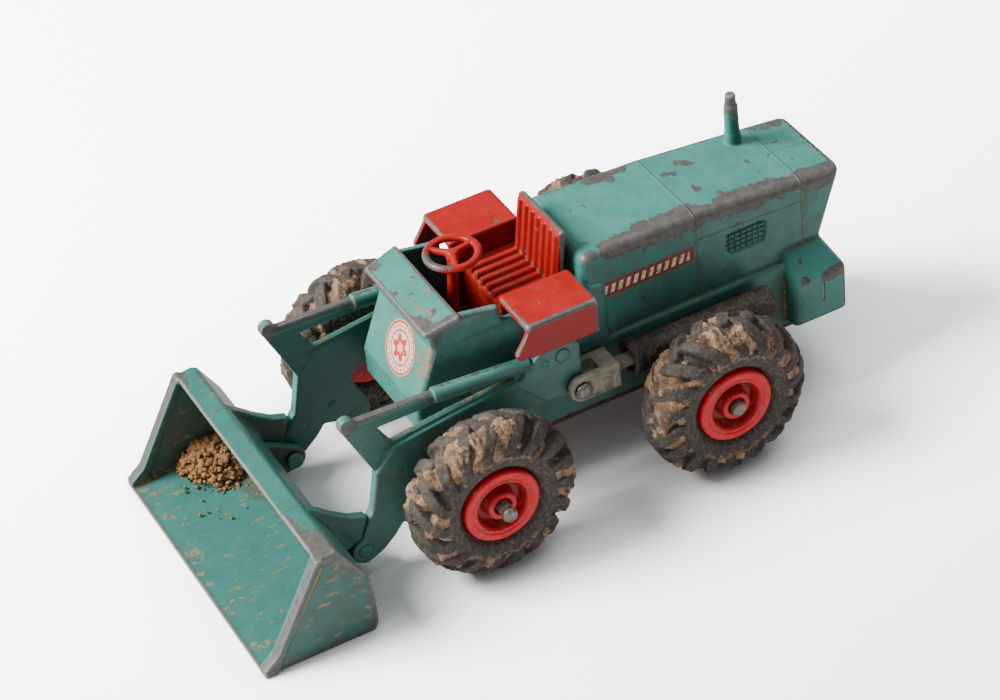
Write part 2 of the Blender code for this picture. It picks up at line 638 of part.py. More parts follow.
def wheel(corner, side, y):
    """Red hub with rim ring, dish and boss, and the tyre on it."""
    bore = AXLE_R + RUN_GAP
    inner = TYRE_INNER_X + 0.6
    face = RIM_FACE_X
    hub_profile = [(bore, inner), (5.6, inner), (5.6, inner + 0.9), (5.0, inner + 1.6), (5.0, face - 1.9),
                   (RIM_R, face - 1.3), (RIM_R, face - 0.3), (RIM_R - 0.3, face), (4.2, face - 0.1),
                   (3.7, face - 2.2), (2.2, face - 2.2), (2.0, face), (bore, face)]
    hub = turned("hub_" + corner, hub_profile, (0, y, WHEEL_R), (side, 0, 0), 24)
    finish(hub, "red_plastic", (side * RIM_FACE_X, y, WHEEL_R))
    bead = 5.0 + GAP + 0.1
    tread = WHEEL_R
    mid = (TYRE_INNER_X + TYRE_OUTER_X) / 2
    low = TYRE_INNER_X
    high = TYRE_OUTER_X
    tyre_profile = [(bead, low + 2.6), (6.6, low + 1.0), (9.0, low), (11.0, low + 0.6), (12.1, low + 1.8),
                    (tread, low + 3.4), (tread, high - 3.4), (12.1, high - 1.8), (11.0, high - 0.6),
                    (9.0, high), (RIM_R + GAP, high - 1.3), (RIM_R + GAP, face - 1.5), (bead, face - 2.1)]
    tyre = turned("tyre_" + corner, tyre_profile, (0, y, WHEEL_R), (side, 0, 0), 32)
    finish(tyre, "tyre_rubber", (side * mid, y, WHEEL_R))


def build():
    body_casting()
    base_plate()
    base_rivets()
    seat_unit()
    steering_wheel()
    for side_name, side in (("left", 1), ("right", -1)):
        ram_barrel("ram_barrel_" + side_name, side)
        lift_arm("lift_arm_" + side_name, side)
        lift_pin("lift_pin_" + side_name, side)
        bucket_pin("bucket_pin_" + side_name, side)
        ram_rod("ram_rod_" + side_name, side)
        ram_rivet("ram_rivet_" + side_name, side)
        wheel("front_" + side_name, side, 0.0)
        wheel("rear_" + side_name, side, WHEELBASE)
    bucket()
    axle("front_axle", 0.0, FRONT_AXLE_HALF)
    axle("rear_axle", WHEELBASE, REAR_AXLE_HALF)


clear_scene()
parts = make_collection(COLLECTION)
cutters = make_collection("cutters")
build()
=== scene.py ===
"""Looks of the toy wheel loader: worn enamel castings, moulded hubs and tyres caked with dried mud.

Places are written in millimetres with Y = 0 at the front axle, -Y to the front, +X to the toy's left
and the ground at Z = 0. Castings have their origin there, so their own coordinates read the same.
Wheels, axles, pins and barrels have it on their own axis, and the transfers at their own start.
"""
import math
import random

import bmesh
import bpy
import numpy as np
from mathutils import Matrix, Vector, noise


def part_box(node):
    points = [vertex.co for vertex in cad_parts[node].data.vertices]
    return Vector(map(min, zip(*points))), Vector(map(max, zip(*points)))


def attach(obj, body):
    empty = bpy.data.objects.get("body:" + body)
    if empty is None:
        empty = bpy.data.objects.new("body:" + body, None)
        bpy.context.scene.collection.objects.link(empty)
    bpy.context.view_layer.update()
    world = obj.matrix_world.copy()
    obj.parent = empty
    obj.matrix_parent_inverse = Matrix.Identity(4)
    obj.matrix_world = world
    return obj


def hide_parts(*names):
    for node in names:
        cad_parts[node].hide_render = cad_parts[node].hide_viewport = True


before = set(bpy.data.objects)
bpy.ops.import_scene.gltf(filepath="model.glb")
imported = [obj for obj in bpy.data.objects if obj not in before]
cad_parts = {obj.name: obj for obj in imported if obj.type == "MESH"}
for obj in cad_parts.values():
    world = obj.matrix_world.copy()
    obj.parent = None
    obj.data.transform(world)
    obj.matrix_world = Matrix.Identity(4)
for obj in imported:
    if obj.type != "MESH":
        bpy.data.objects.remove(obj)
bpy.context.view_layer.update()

MM = 0.001


def middle(node):
    low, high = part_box(node)
    return (low + high) / 2


AXLE_Y = middle("front_axle").y
WHEEL_R = middle("front_axle").z / MM
WHEELBASE = (middle("rear_axle").y - AXLE_Y) / MM
HUB_LOW, HUB_HIGH = [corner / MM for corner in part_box("hub_front_left")]
TYRE_LOW, TYRE_HIGH = [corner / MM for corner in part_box("tyre_front_left")]
TYRE_MID_X = (TYRE_LOW.x + TYRE_HIGH.x) / 2
TYRE_HALF = (TYRE_HIGH.x - TYRE_LOW.x) / 2
RIM_R = (HUB_HIGH.z - HUB_LOW.z) / 2
RIM_FACE_X = HUB_HIGH.x
HUB_INNER_X = HUB_LOW.x


# ---------------------------------------------------------------- camera, lights and floor
CAMERA_AZIMUTH = 65.97
CAMERA_ELEVATION = 38.86
CAMERA_ROLL = -6.744
CAMERA_DISTANCE = 453.25
CAMERA_TARGET = (0.0, 13.11, 17.85)
CAMERA_LENS = 114.31
LIGHT_TARGET = (0.0, 15.0, 15.0)
WORLD_COLOUR = (0.93, 0.95, 1.0, 1.0)
WORLD_STRENGTH = 0.27


def local(x, y, z):
    """Millimetres to metres in a made piece's own coordinates."""
    return Vector((x * MM, y * MM, z * MM))


def in_frame(x, y, z):
    """Millimetres from the front axle to metres in the frame."""
    return local(x, y, z) + Vector((0.0, AXLE_Y, 0.0))


def direction(azimuth, elevation):
    """From the toy towards a viewer: azimuth 0 is the front and 90 the left side."""
    around = math.radians(azimuth)
    above = math.radians(elevation)
    return Vector((math.sin(around) * math.cos(above), -math.cos(around) * math.cos(above), math.sin(above)))


def place_camera():
    camera = bpy.data.objects.new("camera", bpy.data.cameras.new("camera"))
    bpy.context.scene.collection.objects.link(camera)
    back = direction(CAMERA_AZIMUTH, CAMERA_ELEVATION)
    right = Vector((0.0, 0.0, 1.0)).cross(back).normalized()
    up = back.cross(right)
    axes = Matrix((right, up, back)).transposed() @ Matrix.Rotation(math.radians(CAMERA_ROLL), 3, "Z")
    place = in_frame(*CAMERA_TARGET) + back * CAMERA_DISTANCE * MM
    camera.matrix_world = Matrix.Translation(place) @ axes.to_4x4()
    camera.data.lens = CAMERA_LENS
    camera.data.clip_start = 0.01
    bpy.context.scene.camera = camera


def soft_light(name, azimuth, elevation, distance, size, power, colour=(1.0, 1.0, 1.0)):
    lamp = bpy.data.lights.new(name, "AREA")
    lamp.shape = "DISK"
    lamp.size = size
    lamp.energy = power
    lamp.color = colour
    obj = bpy.data.objects.new(name, lamp)
    bpy.context.scene.collection.objects.link(obj)
    away = direction(azimuth, elevation)
    target = in_frame(*LIGHT_TARGET)
    turned_to = away.to_track_quat("Z", "Y").to_matrix().to_4x4()
    obj.matrix_world = Matrix.Translation(target + away * distance) @ turned_to


def studio():
    world = bpy.data.worlds.new("studio")
    world.use_nodes = True
    background = world.node_tree.nodes["Background"]
    background.inputs["Color"].default_value = WORLD_COLOUR
    background.inputs["Strength"].default_value = WORLD_STRENGTH
    bpy.context.scene.world = world
    soft_light("key_light", -21.0, 41.0, 0.9, 0.50, 21.3, (1.0, 0.985, 0.96))
    soft_light("back_light", -160.0, 60.0, 1.1, 0.8, 4.0)
    soft_light("fill_light", 40.0, 60.0, 1.4, 0.9, 0.7)


# ---------------------------------------------------------------- material graphs
class Value:
    """An output of a material's nodes. Arithmetic adds the nodes for it, and | is the larger of two."""

    def __init__(self, graph, socket):
        self.graph = graph
        self.socket = socket

    def __add__(self, other):
        return self.graph.math("ADD", self, other)

    def __radd__(self, other):
        return self.graph.math("ADD", other, self)

    def __sub__(self, other):
        return self.graph.math("SUBTRACT", self, other)

    def __rsub__(self, other):
        return self.graph.math("SUBTRACT", other, self)

    def __mul__(self, other):
        return self.graph.math("MULTIPLY", self, other)

    def __truediv__(self, other):
        return self.graph.math("DIVIDE", self, other)

    def __or__(self, other):
        return self.graph.math("MAXIMUM", self, other)

    def __abs__(self):
        return self.graph.math("ABSOLUTE", self)

    def step(self, low, high, out_low=0.0, out_high=1.0):
        """A smooth step from out_low at low to out_high at high."""
        made = self.graph.node("ShaderNodeMapRange", self, low, high, out_low, out_high)
        made.interpolation_type = "SMOOTHSTEP"
        return Value(self.graph, made.outputs[0])

    def band(self, centre, half, soft=0.06):
        """1 within half of centre, 0 outside."""
        return abs(self - centre).step(half + soft, max(half - soft, 0.0))

    def mix(self, first, second):
        """The first colour where this is 0, and the second where it is 1."""
        made = self.graph.node("ShaderNodeMix", data_type="RGBA")
        for index, value in ((0, self), (6, first), (7, second)):
            self.graph.feed(made.inputs[index], value)
        return Value(self.graph, made.outputs[2])

    def scaled(self, factor):
        """A colour or a place times a number."""
        made = self.graph.node("ShaderNodeVectorMath", self, operation="SCALE")
        self.graph.feed(made.inputs["Scale"], factor)
        return Value(self.graph, made.outputs[0])


class Graph:
    """A material's nodes, made by short calls that take and give values. Lengths are in millimetres."""

    def __init__(self, name):
        self.material = bpy.data.materials.new(name)
        self.material.use_nodes = True
        self.tree = self.material.node_tree
        self.shader = self.tree.nodes["Principled BSDF"]
        self.place = self.value("ShaderNodeTexCoord", output="Object").scaled(1.0 / MM)
        split = self.node("ShaderNodeSeparateXYZ", self.place)
        self.x, self.y, self.z = [Value(self, socket) for socket in split.outputs]

    def node(self, kind, *values, **settings):
        made = self.tree.nodes.new(kind)
        for key, value in settings.items():
            setattr(made, key, value)
        for index, value in enumerate(values):
            self.feed(made.inputs[index], value)
        return made

    def value(self, kind, *values, output=0, **settings):
        return Value(self, self.node(kind, *values, **settings).outputs[output])

    def feed(self, socket, value):
        if isinstance(value, Value):
            self.tree.links.new(value.socket, socket)
        elif socket.type == "RGBA":
            socket.default_value = (*value, 1.0)
        else:
            socket.default_value = value

    def math(self, operation, first, second=0.0):
        return self.value("ShaderNodeMath", first, second, operation=operation)

    def texture(self, kind, place, **settings):
        """A texture node at a place, with the settings on its own sockets."""
        made = self.node(kind)
        self.feed(made.inputs["Vector"], place or self.place)
        for key, value in settings.items():
            made.inputs[key].default_value = value
        return made

    def noise(self, scale, detail=3.0, rough=0.55):
        """Noise with a mean of 0.5. scale is in features per millimetre."""
        made = self.texture("ShaderNodeTexNoise", None, Scale=scale, Detail=detail, Roughness=rough)
        return Value(self, made.outputs[0])

    def spots(self, scale, share, place=None):
        """Distance in cells to the middle of a cell, raised by 1 in all but a share of the cells."""
        made = self.texture("ShaderNodeTexVoronoi", place, Scale=scale)
        chance = self.value("ShaderNodeSeparateColor", Value(self, made.outputs["Color"]))
        return Value(self, made.outputs["Distance"]) + chance.step(share, share + 0.01)

    def stretched(self, x, y, z):
        return self.value("ShaderNodeVectorMath", self.place, (x, y, z), operation="MULTIPLY")

    def warped(self, amount, scale, place=None):
        """The place moved about by up to amount."""
        made = self.texture("ShaderNodeTexNoise", place, Scale=scale)
        centred = self.value("ShaderNodeVectorMath", Value(self, made.outputs["Color"]), (0.5, 0.5, 0.5),
                             operation="SUBTRACT")
        return self.value("ShaderNodeVectorMath", place or self.place, centred.scaled(amount * 2.0),
                          operation="ADD")

    def attribute(self, name):
        return self.value("ShaderNodeAttribute", attribute_name=name, output="Fac")

    def radius(self):
        """Distance from the piece's own X axis."""
        return self.math("SQRT", self.y * self.y + self.z * self.z)

    def finish(self, colour, rough, height=None, metallic=None, **plain):
        """Link colour, roughness and a height in millimetres; plain values go on the shader's own sockets."""
        self.feed(self.shader.inputs["Base Color"], colour)
        self.feed(self.shader.inputs["Roughness"], rough)
        if metallic is not None:
            self.feed(self.shader.inputs["Metallic"], metallic)
        if height is not None:
            bump = self.node("ShaderNodeBump")
            bump.inputs["Distance"].default_value = MM
            self.feed(bump.inputs["Height"], height)
            self.tree.links.new(bump.outputs[0], self.shader.inputs["Normal"])
        for key, value in plain.items():
            self.shader.inputs[key.replace("_", " ")].default_value = value
        return self.material


FLOOR_OVEREXPOSURE = 3.4
# Painted light on the floor: it is lighter towards -X and darker towards +X.
FLOOR_PAINTED_LIGHT_RIGHT = 1.35
FLOOR_PAINTED_LIGHT_LEFT = 0.72
FLOOR_PAINTED_LIGHT_REACH = 110.0
# Painted contact shadow on the floor: its reach in metres and how dark it gets.
PAINTED_SHADOW_REACH = 0.030
PAINTED_SHADOW_DEPTH = 0.42
DASH_RING_R = 8.35
BEAD_RING_R = 6.75
OCHRE = (0.30, 0.17, 0.06)
EARTH = (0.075, 0.048, 0.026)
OLD_STAIN = (0.14, 0.115, 0.085)
PRIMER = ((0.36, 0.235, 0.115), (0.16, 0.115, 0.070))
BARE_METAL = ((0.094, 0.086, 0.080), (0.128, 0.121, 0.115))
RUBBED_METAL = (0.235, 0.230, 0.225)


def enamel(name, paint, faded, dust, relief=None, streaks=0.0, gloss=0.36, side_grime_and_shade=(0.050, 0.048, 0.036),
           shine=0.38, inner=(0.009, 0.075, 0.066)):
    """Old enamel on cast zinc: paint chipped where the wear attribute is high, dirt in the corners, a darker
    film on outward upright faces that is part dirt and part painted shade, and painted shade on inward faces.
    """
    graph = Graph(name)
    wear = graph.attribute("wear")
    dirt = graph.attribute("dirt")
    patches = graph.noise(0.34, 3.0)
    ragged = graph.noise(2.2, 5.0, 0.62)
    jagged = graph.noise(1.1, 6.0, 0.68)
    fine = graph.noise(7.0, 3.0)
    field = wear + (patches - 0.5) * 0.7 + (jagged - 0.5) * 1.35
    nicks = graph.spots(0.36, 0.3, graph.warped(1.1, 1.1)).step(0.15, 0.12)
    chip = field.step(0.5, 0.515) | nicks
    border = field.step(0.465, 0.5) - chip

    tone = patches * 0.7 + ragged * 0.3
    grain = fine.step(0.25, 0.75, 0.90, 1.08)
    colour = tone.step(0.38, 0.62).mix(paint, faded).scaled(grain)

    # The counterweight, low at the rear, carries less of the side film of dirt and painted shade.
    counterweight = graph.y.step(54.0, 56.0) * graph.z.step(21.6, 20.6)
    # Outward upright faces (the side attribute) get a darker film, part dirt and part painted shade.
    shade_and_dirt_veil = graph.attribute("side") * patches.step(0.34, 0.60, 0.12, 0.48)
    shade_and_dirt_veil = shade_and_dirt_veil * counterweight.step(0.0, 1.0, 1.0, 0.15)
    colour = shade_and_dirt_veil.mix(colour, side_grime_and_shade)
    # Painted shade: inward faces (the inner attribute) take a darker tone of the paint.
    colour = (graph.attribute("inner") * 0.85).mix(colour, inner)
    wavy = graph.warped(0.5, 1.1)
    flecks = graph.spots(0.42, 0.3, wavy).step(0.13, 0.08)
    tiny = graph.spots(1.1, 0.22, wavy).step(0.12, 0.07)
    stains = flecks | tiny
    if streaks:
        long_place = graph.stretched(1.0, 0.3, 1.0)
        grouped = graph.noise(0.16, 3.0).step(0.4, 0.56, 0.25, 1.0)
        long_spots = graph.spots(0.55, streaks, graph.warped(1.3, 1.6, long_place))
        long_spots = long_spots.step(0.27, 0.22) * jagged.step(0.4, 0.46)
        short_spots = graph.spots(1.0, streaks, graph.warped(0.7, 2.2, graph.stretched(1.0, 0.55, 1.0)))
        short_spots = short_spots.step(0.22, 0.17) * ragged.step(0.4, 0.5)
        stains = stains | grouped * (long_spots | short_spots)
    stain_colour = ragged.step(0.4, 0.6).mix(OCHRE, OLD_STAIN)
    colour = (stains * 0.8).mix(colour, stain_colour)
    # Small flakes down to the primer, where the flakes attribute is high.
    flake_field = graph.attribute("flakes") + (jagged - 0.5) * 2.0
    flake_colour = fine.step(0.35, 0.65).mix(*PRIMER)
    colour = (flake_field.step(0.5, 0.53) * 0.85).mix(colour, flake_colour)

    film = (dirt + (ragged - 0.5) * 0.5).step(0.16, 0.75, 0.0, 0.8)
    colour = film.mix(colour, dust)
    heavy = (dirt + (ragged - 0.5) * 1.2).step(0.78, 0.9)
    colour = heavy.mix(colour, OCHRE)

    metal = graph.noise(0.9, 5.0).step(0.36, 0.64).mix(*BARE_METAL)
    metal = graph.attribute("edge").step(0.25, 0.9, 0.0, 0.75).mix(metal, RUBBED_METAL)
    colour = (border * 0.55).mix(colour, EARTH)
    colour = chip.mix(colour, metal)

    painted = 1.0 - chip
    height = painted * 0.035 + ragged * 0.01 + fine * 0.005 + heavy * 0.08
    if relief:
        raised, seam = relief(graph)
        height = height + raised
        colour = (seam * ragged.step(0.42, 0.6)).mix(colour, OCHRE)
    rough = gloss + ragged * 0.14 + chip * 0.1 + film * 0.25
    return graph.finish(colour, rough, height, chip * 0.3, Specular_IOR_Level=shine)


def hood_relief(graph):
    """Moulded ridges and seams of the hood, and the slot in the counterweight."""
    above = graph.z.step(21.2, 21.6)
    front_ridge = graph.y.band(41.4, 0.13) * above
    rear_ridge = graph.y.band(59.2, 0.13) * graph.z.step(22.4, 22.7)
    side = abs(graph.x)
    drop = graph.z + (graph.y - 41.5) * 0.047
    crease = drop.band(30.5, 0.07) * graph.y.band(50.2, 8.8) * side.step(7.6, 7.8)
    seam = graph.x.band(0.0, 0.06) * graph.y.step(59.3, 59.4) * graph.z.step(31.0, 31.3)
    slot = graph.y.band(59.7, 0.34, 0.12) * graph.z.band(15.3, 1.5, 0.12) * side.step(11.7, 11.9)
    raised = front_ridge * 0.13 + rear_ridge * 0.13 + crease * -0.1 + seam * -0.08 + slot * -0.3
    stained = rear_ridge * graph.z.step(31.4, 30.6) * 0.9 + crease * 0.5 + slot * 0.7
    stained = stained + front_ridge * graph.z.step(34.0, 32.0) * 0.5
    return raised, stained


def bucket_relief(graph):
    """Ragged parting lines across the bucket's top."""
    shift = (graph.noise(1.4) - 0.5) * 0.8
    across = abs(graph.x) + shift
    line = across.band(12.4, 0.12) * graph.z.step(15.4, 15.8)
    return (line * 0.16, line * 0.9)


def arm_relief(graph):
    """The panel outline pressed into the outer face of the arm."""
    top = graph.z + (graph.y + 5.0) * -0.147
    upper = top.band(19.7, 0.1) * graph.y.band(1.6, 7.6)
    rear = graph.y + (graph.z - 21.9) * 0.93
    back = rear.band(9.3, 0.14) * graph.z.band(20.0, 2.0)
    front = graph.y.band(-6.0, 0.1) * graph.z.band(18.0, 1.7)
    line = upper | back | front
    outer = abs(graph.x).step(13.3, 13.5)
    line = line * outer
    return (line * -0.16, line * 0.25)


def rubber():
    """Tyre rubber, dusty, with dried mud where the mud attribute is high, and painted shade in the gaps
    between the lugs.
    """
    graph = Graph("tyre_rubber_with_mud_and_gap_shade")
    mud = graph.attribute("mud")
    coarse = graph.noise(0.5, 4.0, 0.6)
    medium = graph.noise(1.8, 4.0, 0.6)
    grit = graph.noise(6.0, 3.0, 0.6)
    away = graph.radius()
    wall = away.step(9.6, 8.0)
    dusty = (medium - 0.5) * 1.7 + coarse * 0.5 + wall * 0.02 + mud * 0.5
    dark = grit.step(0.35, 0.65).mix((0.014, 0.012, 0.011), (0.042, 0.037, 0.032))
    dust = grit.step(0.3, 0.7).mix((0.08, 0.047, 0.026), (0.2, 0.135, 0.088))
    colour = dusty.step(0.14, 0.66, 0.0, 0.85).mix(dark, dust)
    top = graph.attribute("lug")
    scuffed = (top * 0.7 + (medium - 0.5) * 1.2).step(0.35, 0.95, 0.0, 0.75)
    colour = scuffed.mix(colour, grit.step(0.35, 0.65).mix((0.034, 0.027, 0.02), (0.11, 0.084, 0.058)))
    # Painted shade: the gaps between the lugs, near the tread, are darkened.
    painted_gap_shade = top.step(0.35, 0.0) * away.step(9.4, 10.4)
    colour = (painted_gap_shade * 0.6).mix(colour, (0.018, 0.012, 0.008))
    turned_up = (abs(graph.z) / away).step(0.72, 0.76)
    ring = away.band(DASH_RING_R, 0.30, 0.10) * turned_up * medium.step(0.42, 0.56)
    colour = (ring * 0.6).mix(colour, (0.28, 0.165, 0.085))
    clay = (medium * 0.5 + grit * 0.5).step(0.38, 0.6).mix((0.13, 0.07, 0.036), (0.47, 0.295, 0.18))
    damp = (coarse * 0.7 + medium * 0.3).step(0.47, 0.58, 0.0, 0.78)
    clay = damp.mix(clay, (0.105, 0.058, 0.03))
    caked = (mud + (grit - 0.5) * 0.8).step(0.4, 0.62)
    colour = caked.mix(colour, clay)
    height = grit * (0.03 + caked * 0.1) + medium * 0.03
    rough = 0.66 + caked * 0.26 + medium * 0.08
    return graph.finish(colour, rough, height)


def red_plastic():
    graph = Graph("red_plastic_dusty")
    broad = graph.noise(0.5, 2.0)
    fine = graph.noise(2.6, 5.0, 0.62)
    away = graph.radius()
    colour = broad.step(0.35, 0.65).mix((0.62, 0.006, 0.016), (0.72, 0.012, 0.024))
    groove = away.band(4.3, 0.35, 0.3) * 0.7 + away.band(3.1, 0.7, 0.4) * 0.8
    groove = groove + away.band(RIM_R, 0.25, 0.15) * 0.5
    traces = (groove * 0.3 + (fine - 0.5) * 1.0 + (broad - 0.5) * 1.3).step(0.26, 0.4)
    clay = fine.step(0.4, 0.66).mix((0.13, 0.06, 0.03), (0.42, 0.25, 0.12))
    # Darker red round the dish at radius 2.9, broken up by noise.
    film = (away.band(2.9, 1.0, 0.5) * 0.6 + fine).step(0.5, 1.4, 0.0, 0.75)
    colour = film.mix(colour, (0.12, 0.018, 0.012))
    colour = (traces * 0.8).mix(colour, clay)
    rough = 0.3 + fine * 0.16 + traces * 0.4
    height = fine * 0.012 + traces * 0.04
    return graph.finish(colour, rough, height, Specular_IOR_Level=0.3)


def old_metal(name, dark, light, earth, share, metallic, rough):
    """Bare metal under a share of earth."""
    graph = Graph(name)
    broad = graph.noise(0.6, 4.0)
    fine = graph.noise(3.2, 5.0, 0.62)
    colour = fine.step(0.34, 0.66).mix(dark, light)
    cover = (broad * 0.6 + fine * 0.5).step(0.66 - 0.3 * share, 0.74 - 0.2 * share)
    colour = (cover * 0.85).mix(colour, earth)
    roughness = rough + fine * 0.15 + cover * 0.25
    height = fine * 0.02 + cover * 0.02
    shine = cover.step(0.0, 1.0, metallic, 0.0)
    return graph.finish(colour, roughness, height, shine)


def black_paint():
    graph = Graph("black_paint_muddy")
    broad = graph.noise(0.55, 4.0)
    fine = graph.noise(2.8, 5.0, 0.62)
    colour = fine.step(0.35, 0.65).mix((0.014, 0.012, 0.012), (0.034, 0.028, 0.025))
    mud = (broad * 0.55 + fine * 0.55).step(0.5, 0.66)
    earth = fine.step(0.42, 0.62).mix((0.05, 0.03, 0.018), (0.16, 0.088, 0.042))
    colour = (mud * 0.8).mix(colour, earth)
    rough = 0.42 + mud * 0.36 + fine * 0.1
    return graph.finish(colour, rough, fine * 0.03 + mud * 0.06)


def soil():
    graph = Graph("dry_soil")
    fine = graph.noise(3.0, 5.0, 0.65)
    broad = graph.noise(0.6, 3.0)
    colour = fine.step(0.34, 0.66).mix((0.14, 0.058, 0.018), (0.44, 0.225, 0.078))
    colour = broad.step(0.46, 0.62, 0.0, 0.7).mix(colour, (0.17, 0.075, 0.03))
    return graph.finish(colour, 0.92, fine * 0.12)


def side_strip():
    """Dark red transfer with cream slanted bars and a brown, rubbed edge. It reads nothing."""
    graph = Graph("strip_transfer")
    worn = graph.noise(1.6, 4.0, 0.6)
    slanted = graph.x - graph.y * 0.3
    cell = graph.math("FRACT", slanted * (1.0 / STRIP_PITCH))
    middle_x = STRIP_LENGTH / 2
    bar = cell.band(0.5, 0.27, 0.05) * graph.y.band(0.0, 0.72) * graph.x.band(middle_x, middle_x - 0.7, 0.05)
    red = worn.step(0.38, 0.62).mix((0.15, 0.016, 0.01), (0.26, 0.03, 0.016))
    edge = abs(graph.y).step(STRIP_HALF - 0.35, STRIP_HALF)
    colour = (edge * 0.8).mix(red, (0.2, 0.11, 0.03))
    cream = worn.step(0.46, 0.6).mix((0.66, 0.6, 0.5), (0.5, 0.34, 0.22))
    colour = (bar * worn.step(0.68, 0.6)).mix(colour, cream)
    colour = graph.spots(0.8, 0.2, graph.warped(0.4, 1.5)).step(0.16, 0.1).mix(colour, OCHRE)
    return graph.finish(colour, 0.4 + worn * 0.15, worn * 0.01)


def badge():
    """Cream disc with red rings, a ring of dots and a plain red rosette."""
    graph = Graph("badge_transfer")
    worn = graph.noise(1.3, 4.0, 0.6)
    away = graph.math("SQRT", graph.x * graph.x + graph.y * graph.y)
    around = graph.math("ARCTAN2", graph.y, graph.x)
    petals = graph.math("COSINE", around * 6.0)
    cream = worn.step(0.36, 0.66).mix((0.74, 0.69, 0.54), (0.6, 0.5, 0.34))
    outer = away.band(BADGE_R - 0.42, 0.17)
    inner = away.band(BADGE_R * 0.6, 0.13)
    dots = graph.math("COSINE", around * 24.0).step(0.35, 0.6) * away.band(BADGE_R * 0.755, 0.2)
    core = (away + petals * -0.42).step(1.72, 1.58)
    eye = (away + petals * -0.2).step(0.75, 0.62)
    red = outer | inner | (dots | core)
    red = red * (1.0 - eye) * worn.step(0.7, 0.62)
    colour = red.mix(cream, (0.62, 0.03, 0.022))
    colour = away.step(BADGE_R - 0.3, BADGE_R).mix(colour, (0.3, 0.19, 0.07))
    return graph.finish(colour, 0.38 + worn * 0.15, worn * 0.01)


def floor_paper():
    """White paper, lit up for the camera like an overexposed backdrop, with painted light falling off across
    X and painted contact shadows near the toy.
    """
    graph = Graph("pale_paper_painted_light_and_shadow")
    fibres = graph.noise(0.35, 4.0, 0.6)
    broad = graph.noise(0.004, 2.0)
    colour = broad.step(0.3, 0.7).mix((0.8, 0.8, 0.805), (0.84, 0.84, 0.845))
    seen = graph.value("ShaderNodeLightPath", output="Is Camera Ray")
    # Painted light: the floor's gain falls from -X to +X.
    painted_light_and_shadow = graph.x.step(-FLOOR_PAINTED_LIGHT_REACH, FLOOR_PAINTED_LIGHT_REACH, FLOOR_OVEREXPOSURE * FLOOR_PAINTED_LIGHT_RIGHT,
                          FLOOR_OVEREXPOSURE * FLOOR_PAINTED_LIGHT_LEFT)
    # Painted shadow: an ambient-occlusion node darkens the floor near the toy.
    painted_contact_shadow = graph.node("ShaderNodeAmbientOcclusion", samples=12)
    painted_contact_shadow.inputs["Distance"].default_value = PAINTED_SHADOW_REACH
    painted_light_and_shadow = painted_light_and_shadow * Value(graph, painted_contact_shadow.outputs["AO"]).step(0.30, 1.0, PAINTED_SHADOW_DEPTH, 1.0)
    return graph.finish(colour.scaled(seen.step(0.0, 1.0, 1.0, painted_light_and_shadow)), 0.85, fibres * 0.02)


def floor():
    shape = bmesh.new()
    bmesh.ops.create_circle(shape, cap_ends=True, segments=96, radius=3.0)
    mesh = bpy.data.meshes.new("floor")
    shape.to_mesh(mesh)
    shape.free()
    mesh.materials.append(floor_paper())
    obj = bpy.data.objects.new("floor", mesh)
    bpy.context.scene.collection.objects.link(obj)


# ---------------------------------------------------------------- mesh helpers
WELD = 0.002 * MM
CAD_WELD = 0.005 * MM


def new_object(name, shape):
    mesh = bpy.data.meshes.new(name)
    shape.to_mesh(mesh)
    shape.free()
    obj = bpy.data.objects.new(name, mesh)
    bpy.context.scene.collection.objects.link(obj)
    return obj


def place_piece(obj, material, body, replaces=(), centre=(0.0, 0.0, 0.0)):
    """Give a made piece its material, put its origin at centre and tie it to its body."""
    obj.data.materials.clear()
    obj.data.materials.append(material)
    obj.data.shade_smooth()
    obj.location = in_frame(*centre)
    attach(obj, body)
    if replaces:
        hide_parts(*replaces)


def applied(obj):
    """Apply an object's modifiers to its mesh."""
    depsgraph = bpy.context.evaluated_depsgraph_get()
    mesh = bpy.data.meshes.new_from_object(obj.evaluated_get(depsgraph))
    obj.modifiers.clear()
    obj.data = mesh


def add_shape(shape, other):
    """Add a closed shape to another; a remesh joins them."""
    mesh = bpy.data.meshes.new("tool")
    other.to_mesh(mesh)
    other.free()
    shape.from_mesh(mesh)
    bpy.data.meshes.remove(mesh)


def prism(points, low_x, high_x):
    """A closed outline of (y, z) points between two X planes."""
    shape = bmesh.new()
    near = [shape.verts.new(local(high_x, y, z)) for y, z in points]
    far = [shape.verts.new(local(low_x, y, z)) for y, z in points]
    shape.faces.new(near)
    shape.faces.new(far[::-1])
    for index in range(len(points)):
        after = (index + 1) % len(points)
        shape.faces.new((near[index], far[index], far[after], near[after]))
    bmesh.ops.recalc_face_normals(shape, faces=shape.faces)
    return shape


def frame_band(points, share, low_x, high_x):
    """The border of an outline of (y, z) points, down to a share of its size."""
    centre_y = sum(y for y, z in points) / len(points)
    centre_z = sum(z for y, z in points) / len(points)
    inner = [(centre_y + (y - centre_y) * share, centre_z + (z - centre_z) * share) for y, z in points]
    shape = bmesh.new()
    loops = [[shape.verts.new(local(x, y, z)) for y, z in outline]
             for outline, x in ((points, low_x), (points, high_x), (inner, high_x), (inner, low_x))]
    join_rings(shape, loops, True)
    return shape


def join_rings(shape, rings, closed):
    """Faces between neighbouring rings of equal length."""
    pairs = list(zip(rings, rings[1:]))
    if closed:
        pairs.append((rings[-1], rings[0]))
    for first, second in pairs:
        count = len(first)
        for index in range(count):
            after = (index + 1) % count
            shape.faces.new((first[index], first[after], second[after], second[index]))
    bmesh.ops.recalc_face_normals(shape, faces=shape.faces)


def circle(radius, steps):
    """(across, up) points round a circle."""
    return [(radius * math.cos(math.tau * index / steps), radius * math.sin(math.tau * index / steps))
            for index in range(steps)]


def arc(centre, radius, degrees):
    """(y, z) points round a centre."""
    return [(centre[0] + radius * math.cos(angle), centre[1] + radius * math.sin(angle))
            for angle in map(math.radians, degrees)]


